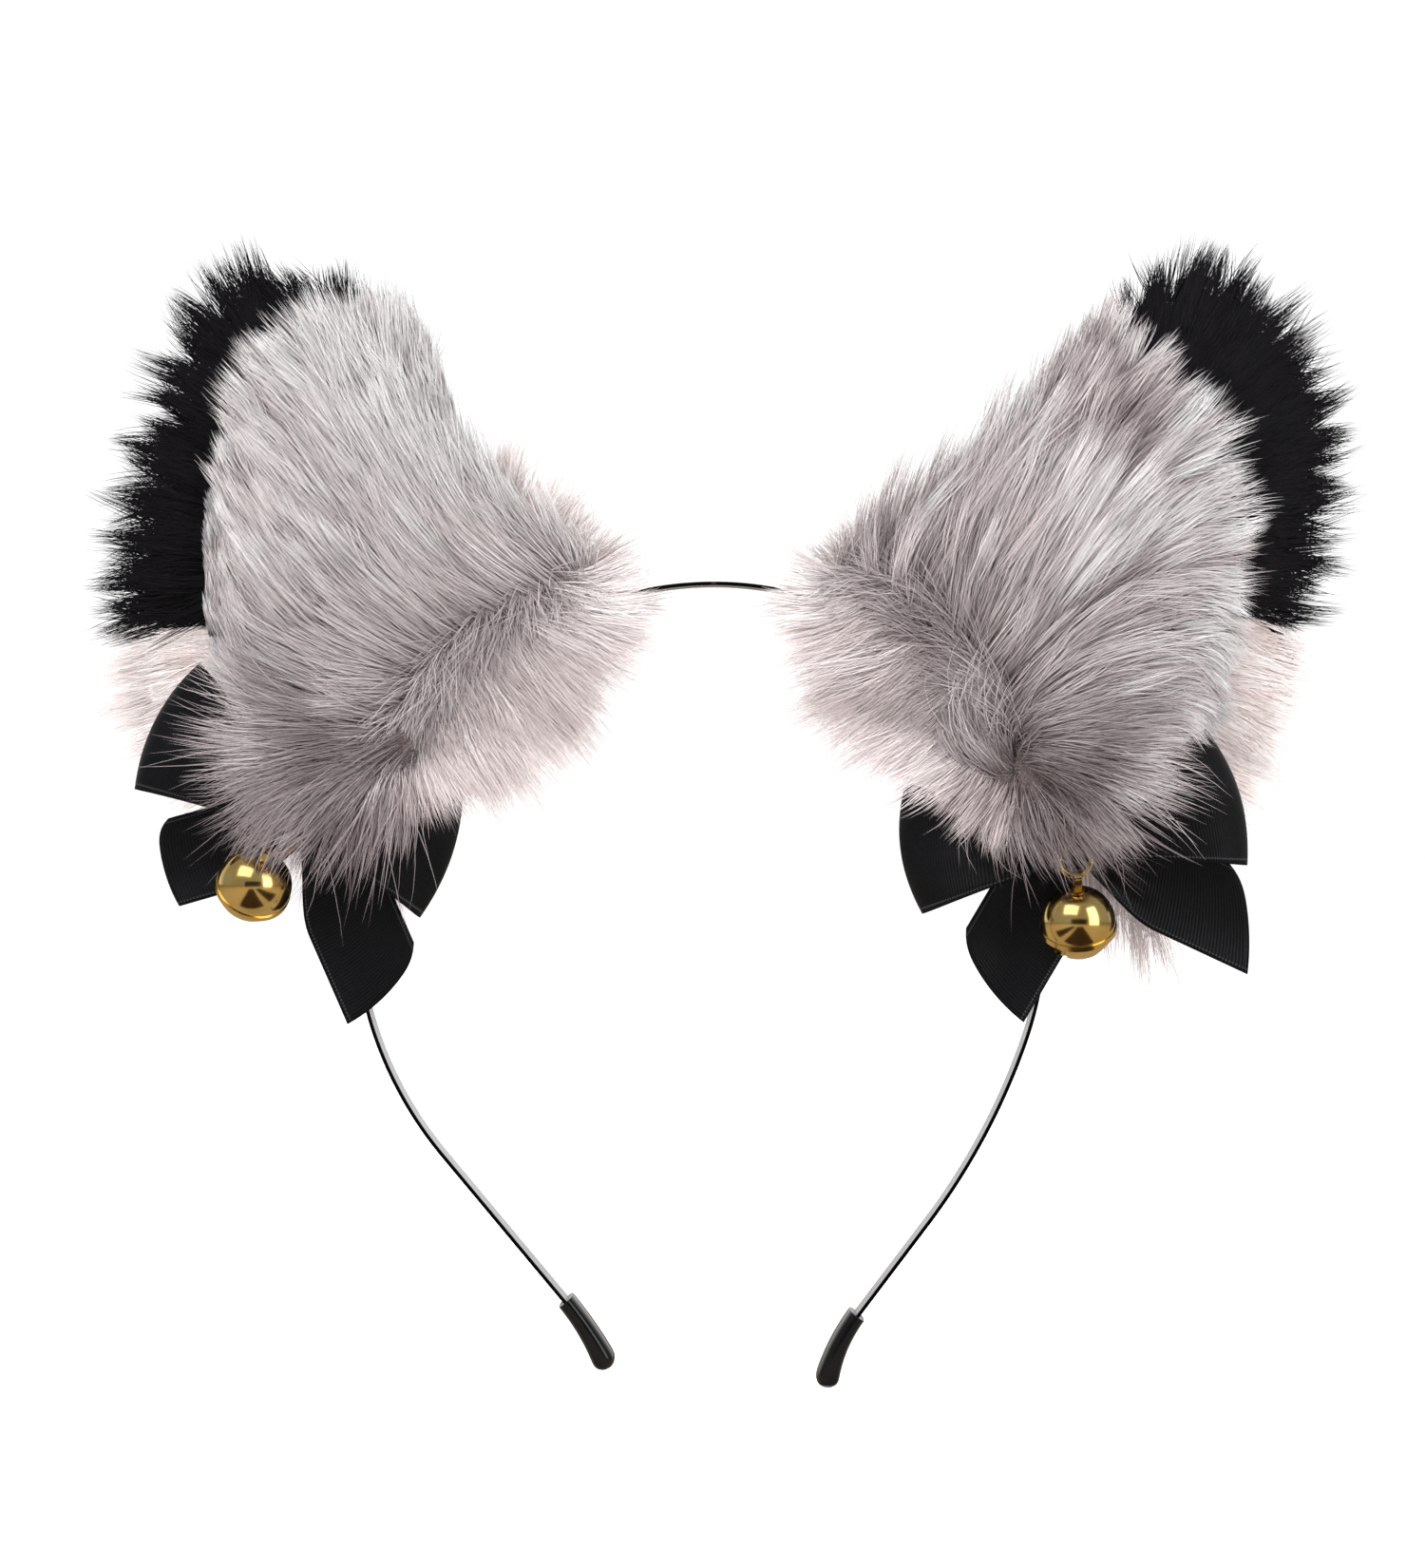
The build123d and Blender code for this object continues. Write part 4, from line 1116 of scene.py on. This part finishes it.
def front_coats(side, front, fringe):
    """The front panel's main coat, the fringe over the bow and its stray hairs, the mane and the crease."""
    controls = CONTROLS[side]["front"]
    area = closed_outline(side, "front")[::4].copy()
    area[:, 1] = area[:, 1].clip(PANEL_END[side])
    combed = [(x, z, way, length * (0.8 if z < -29 else 1.0), shade) for x, z, way, length, shade in controls]
    longer, below = FRINGE_LONGER[side], FRINGE_DARKER_BELOW[side]
    lower = [(x, z, way, length + longer, shade - 0.03 * min(12, max(0, below - z)))
             for x, z, way, length, shade in controls if z < -16]
    stray = [(x, z, way, length + 5, shade) for x, z, way, length, shade in lower]
    return [
        coat(side, front, -1, 1, area=area, count=15500, controls=combed, lift=3.0, **COMB[side]),
        coat(side, fringe, -1, 9, area=FRINGE_AREA[side], count=1900, controls=lower, lift=1.6, clump=0.5,
             tuft=14, uneven=0.28, stray=9.0, drape=0.5, tone=0.25, avoid=False),
        coat(side, fringe, -1, 16, area=FRINGE_AREA[side], count=260, controls=stray, lift=2.4, clump=0.1,
             stray=14.0, uneven=0.35, drape=0.5, avoid=False),
        coat(side, front, -1, 10, area=MANE_AREA[side], count=1500, controls=MANE[side], lift=5.2, clump=0.5,
             tuft=22, avoid=False),
        coat(side, front, -1, 12, area=CREASE_AREA[side], count=1700, controls=CREASE[side], lift=3.2,
             clump=0.25, tuft=12, stray=34.0, uneven=0.3, avoid=False),
    ]


def rim_coats(side, front, behind):
    """The trimmed rim, the short fur round the back of the edge, and the fur that the bow presses."""
    controls = CONTROLS[side]["front"]
    # on the left the trimmed rim is darkened: painted shade
    trimmed = [(x, z, way, 2.6, TRIM_TONE_AND_PAINTED_SHADE[side]["shade"]) for x, z, way, _, _ in controls]
    short = [(x, z, way, min(length, 5.0), shade) for x, z, way, length, shade in controls]
    outline = closed_outline(side, "front")
    inner = np.array(EAR[side]["middle"]) + (outline - EAR[side]["middle"]) * 0.93
    return [
        coat(side, front, -1, 3, area=RIM_AREA[side], count=5200, controls=trimmed, lift=0.8, clump=0.1,
             steps=4, uneven=0.08, tone=TRIM_TONE_AND_PAINTED_SHADE[side]["tone"]),
        coat(side, behind, 1, 17, area=np.vstack([outline[::4], inner[::-4]]), count=2600, controls=short,
             lift=0.5, clump=0.3, avoid=False),
        coat(side, (front[0], front[0]), -1, 18, area=PRESSED_AREA[side], count=1600, controls=short,
             lift=0.6, clump=0.3, avoid=False),
    ]


def back_coats(side, outer, inner, nape):
    """The black panel's coats, outside and towards the front panel, and the nape."""
    area = closed_outline(side, "back")[::4]
    controls = CONTROLS[side]["back"]
    return [
        coat(side, outer, 1, 4, area=area, count=10000, controls=controls, lift=3.0, clump=0.55, tuft=24,
             tuft_turn=11.0, uneven=0.24),
        coat(side, inner, -1, 5, area=area, count=8200, controls=controls, lift=0.6, clump=0.68, tuft=26,
             tuft_turn=11.0, uneven=0.26, avoid=False),
        coat(side, nape, 1, 15, area=NAPE_AREA[side], count=3400, controls=NAPE[side], lift=1.6, clump=0.5,
             tuft=20, avoid=False),
    ]


def foot_coats(side, outer, inner):
    """The pale foot's coats, the fur behind the crease, the halo and the tassel."""
    area = closed_outline(side, "foot")[::4]
    controls = CONTROLS[side]["foot"]
    return [
        coat(side, outer, 1, 6, area=area, count=6500, controls=controls, lift=3.0, clump=0.5),
        coat(side, inner, -1, 7, area=area, count=4500, controls=controls, lift=0.4, clump=0.5, avoid=False),
        coat(side, outer, 1, 8, area=UNDER_AREA[side], count=3500, controls=CONTROLS[side]["under"], lift=2.0,
             clump=0.5, uneven=0.3, avoid=False),
        coat(side, outer, 1, 13, area=HALO_AREA[side], count=900, controls=HALO[side], lift=1.0, clump=0.35,
             stray=14.0, uneven=0.35, avoid=False),
        coat(side, outer, 1, 14, area=TASSEL_AREA[side], count=800, controls=TASSEL[side], lift=1.0,
             clump=0.6, stray=4.0, uneven=0.3, avoid=False),
    ]


def make_fur(side, pads, bow, hangers):
    """An ear's five pieces of fur, which lie over the bow and round what the bell hangs on."""
    panel = [pads["front"], pads["sleeve"]]
    front = fur_maps(side, panel, bow, -1, 1)
    over_bow = fur_maps(side, panel, bow + hangers, -1, 3, 4)[1]
    behind = fur_maps(side, [pads["front"]], [], 1)
    nape = fur_maps(side, panel, [], 1)
    back = [fur_maps(side, [pads["back"]], [], near) for near in (1, -1)]
    foot = [fur_maps(side, [pads["foot"], pads["sleeve"]], [], 1), fur_maps(side, [pads["foot"]], [], -1)]
    under = coat(side, front, -1, 2, area=UNDER_AREA[side], count=7000, controls=CONTROLS[side]["under"],
                 lift=2.0, clump=0.5, tuft=20, stray=10.0, uneven=0.34, avoid=False)
    width = 0.19
    for name, coats, share, mat, slot in [
            ("front", front_coats(side, front, (over_bow, over_bow)), 1.0, LILAC, "grey_fur"),
            ("under", [under], 1.0, SOFT_LILAC, "grey_fur"),
            ("rim", rim_coats(side, front, behind), 0.9, RIM, "grey_fur"),
            ("back", back_coats(side, *back, nape), 1.05, BLACK, "black_fur"),
            ("foot", foot_coats(side, *foot), 1.0, PALE, "pale_fur")]:
        piece = strands(f"{side}_ear_fur_{name}", coats, width * share, mat)
        ride(piece, f"{side}_ear", slot)


# ---- assembly ---------------------------------------------------------------------------------
def make_side(side):
    make_band(side)
    make_tip(side)
    pads = {
        "sleeve": make_sleeve(side),
        "front": make_pad(side, "front", 0.4, -8.2, 2.4, LILAC_BACKING, "grey_fur",
                          ("ear_front_panel", "ear_foam_core", "ear_seam_stitches")),
        "back": make_pad(side, "back", 7.0, 4.0, 13.5, BLACK_BACKING, "black_fur", ("ear_back_panel",)),
        "foot": make_pad(side, "foot", 7.0, 4.0, 13.0, PALE_BACKING, "pale_fur", ("ear_back_foot",)),
    }
    spec = BOW[side]
    bow = [make_loop(side, i + 1, *loop) for i, loop in enumerate(spec["loops"])]
    bow += [make_tail(side, i + 1, *tail) for i, tail in enumerate(spec["tails"])]
    bow.append(make_knot(side))
    for name in ("bow_sewing", "ring_thread"):
        dress(f"{side}_{name}", THREAD)
    for name in ("jump_ring", "bell_eye", "bell_upper_shell", "bell_lower_shell"):
        dress(f"{side}_{name}", GOLD)
    dress(f"{side}_bell_pellet", PELLET)
    bpy.context.view_layer.update()
    hangers = [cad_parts[f"{side}_{name}"] for name in ("jump_ring", "ring_thread")]
    make_fur(side, pads, bow, hangers)


def make_light(name, location, target, size, energy):
    data = bpy.data.lights.new(name, "AREA")
    data.shape = "RECTANGLE"
    data.size, data.size_y = size
    data.energy = energy
    light = bpy.data.objects.new(name, data)
    light.location = location
    light.visible_glossy = False
    light.rotation_euler = (Vector(target) - Vector(location)).to_track_quat("-Z", "Y").to_euler()
    bpy.context.scene.collection.objects.link(light)


def make_card(name, location, target, size, colour, glow=0.0):
    """A studio flag or soft box that only shiny things see."""
    m, _, shader = material(name, Roughness=1.0, Specular_IOR_Level=0.0, Emission_Color=(1, 1, 1, 1),
                            Emission_Strength=glow)
    shader.inputs["Base Color"].default_value = (*colour, 1)
    w, h = size[0] / 2 / MM, size[1] / 2 / MM
    card = new_piece(name, [(-w, -h, 0), (w, -h, 0), (w, h, 0), (-w, h, 0)], [(0, 1, 2, 3)], m)
    card.location = location
    card.rotation_euler = (Vector(target) - Vector(location)).to_track_quat("Z", "Y").to_euler()
    for kind in ("camera", "diffuse", "transmission", "volume_scatter", "shadow"):
        setattr(card, f"visible_{kind}", False)


def make_studio():
    scene = bpy.context.scene
    world = bpy.data.worlds.new("studio")
    scene.world = world
    world.use_nodes = True
    tree = world.node_tree
    rays = node(tree, "ShaderNodeLightPath")
    sky = node(tree, "ShaderNodeTexCoord").outputs["Generated"]
    towards = node(tree, "ShaderNodeSeparateXYZ", {"Vector": sky})
    backdrop = node(tree, "ShaderNodeMapRange", {"Value": towards.outputs["Y"], "From Min": 0.2,
                                                 "From Max": 0.7, "To Min": 0.3, "To Max": 1.0})
    shiny = node(tree, "ShaderNodeMapRange", {"Value": rays.outputs["Is Glossy Ray"], "To Min": 0.5,
                                              "To Max": backdrop.outputs["Result"]})
    strength = node(tree, "ShaderNodeMapRange", {"Value": rays.outputs["Is Camera Ray"],
                                                 "To Min": shiny.outputs["Result"], "To Max": 1.1})
    tree.nodes["Background"].inputs["Color"].default_value = (1, 1, 1, 1)
    tree.links.new(strength.outputs["Result"], tree.nodes["Background"].inputs["Strength"])
    scene.view_settings.view_transform = "Standard"
    low = cad_box[0].z / MM - 0.2
    m, tree, shader = material("studio_floor", Roughness=0.9, Specular_IOR_Level=0.1,
                               Emission_Color=(1, 1, 1, 1), Emission_Strength=0.55)
    pale = ramp(tree, noise(tree, place(tree), 2.0), [(0.0, (0.93, 0.93, 0.93)), (1.0, (0.96, 0.96, 0.96))])
    tree.links.new(pale, shader.inputs["Base Color"])
    r = 4000
    floor_z = low - LEG_REACH
    corners = [(-r, -r, floor_z), (r, -r, floor_z), (r, r, floor_z), (-r, r, floor_z)]
    floor = new_piece("studio_floor", corners, [(0, 1, 2, 3)], m)
    make_light("key", (-0.5, -0.85, 0.8), (0, 0, -0.02), (1.0, 0.7), 16.0)
    make_light("fill", (0.62, -0.6, 0.1), (0, 0, -0.04), (0.45, 1.1), 4.0)
    make_light("top", (0.1, 0.35, 1.0), (0, 0, -0.02), (0.9, 0.6), 12.0)
    make_card("box_key", (-0.5, -0.85, 0.8), (0, 0, -0.02), (1.0, 0.7), (0.5, 0.5, 0.5), 1.35)
    make_card("box_fill", (0.62, -0.6, 0.1), (0, 0, -0.04), (0.45, 1.1), (0.5, 0.5, 0.5), 1.9)
    make_card("flag_front", (0, -1.1, -0.1), (0, 0, -0.05), (1.0, 0.55), (0.005, 0.005, 0.005))
    make_card("flag_floor", (0, 0, low * MM + 0.001), (0, 0, 1.0), (8.0, 8.0), (0.26, 0.22, 0.17))
    for side, x, width in (("left", -0.085, 0.1), ("right", 0.06, 0.12)):
        at = (x, -0.24, low * MM + 0.003)
        make_card(f"flag_{side}", at, (x, -0.24, 1.0), (width, 0.4), (0.02, 0.01, 0.005))


def make_camera():
    data = bpy.data.cameras.new("camera")
    data.lens = 66.1
    data.clip_start, data.clip_end = 0.01, 50
    camera = bpy.data.objects.new("camera", data)
    camera.location = (-0.00033, -0.5, -0.0343)
    camera.rotation_euler = (math.radians(90), 0, 0)
    bpy.context.scene.collection.objects.link(camera)
    bpy.context.scene.camera = camera


make_camera()
make_studio()
for side in ("left", "right"):
    make_side(side)
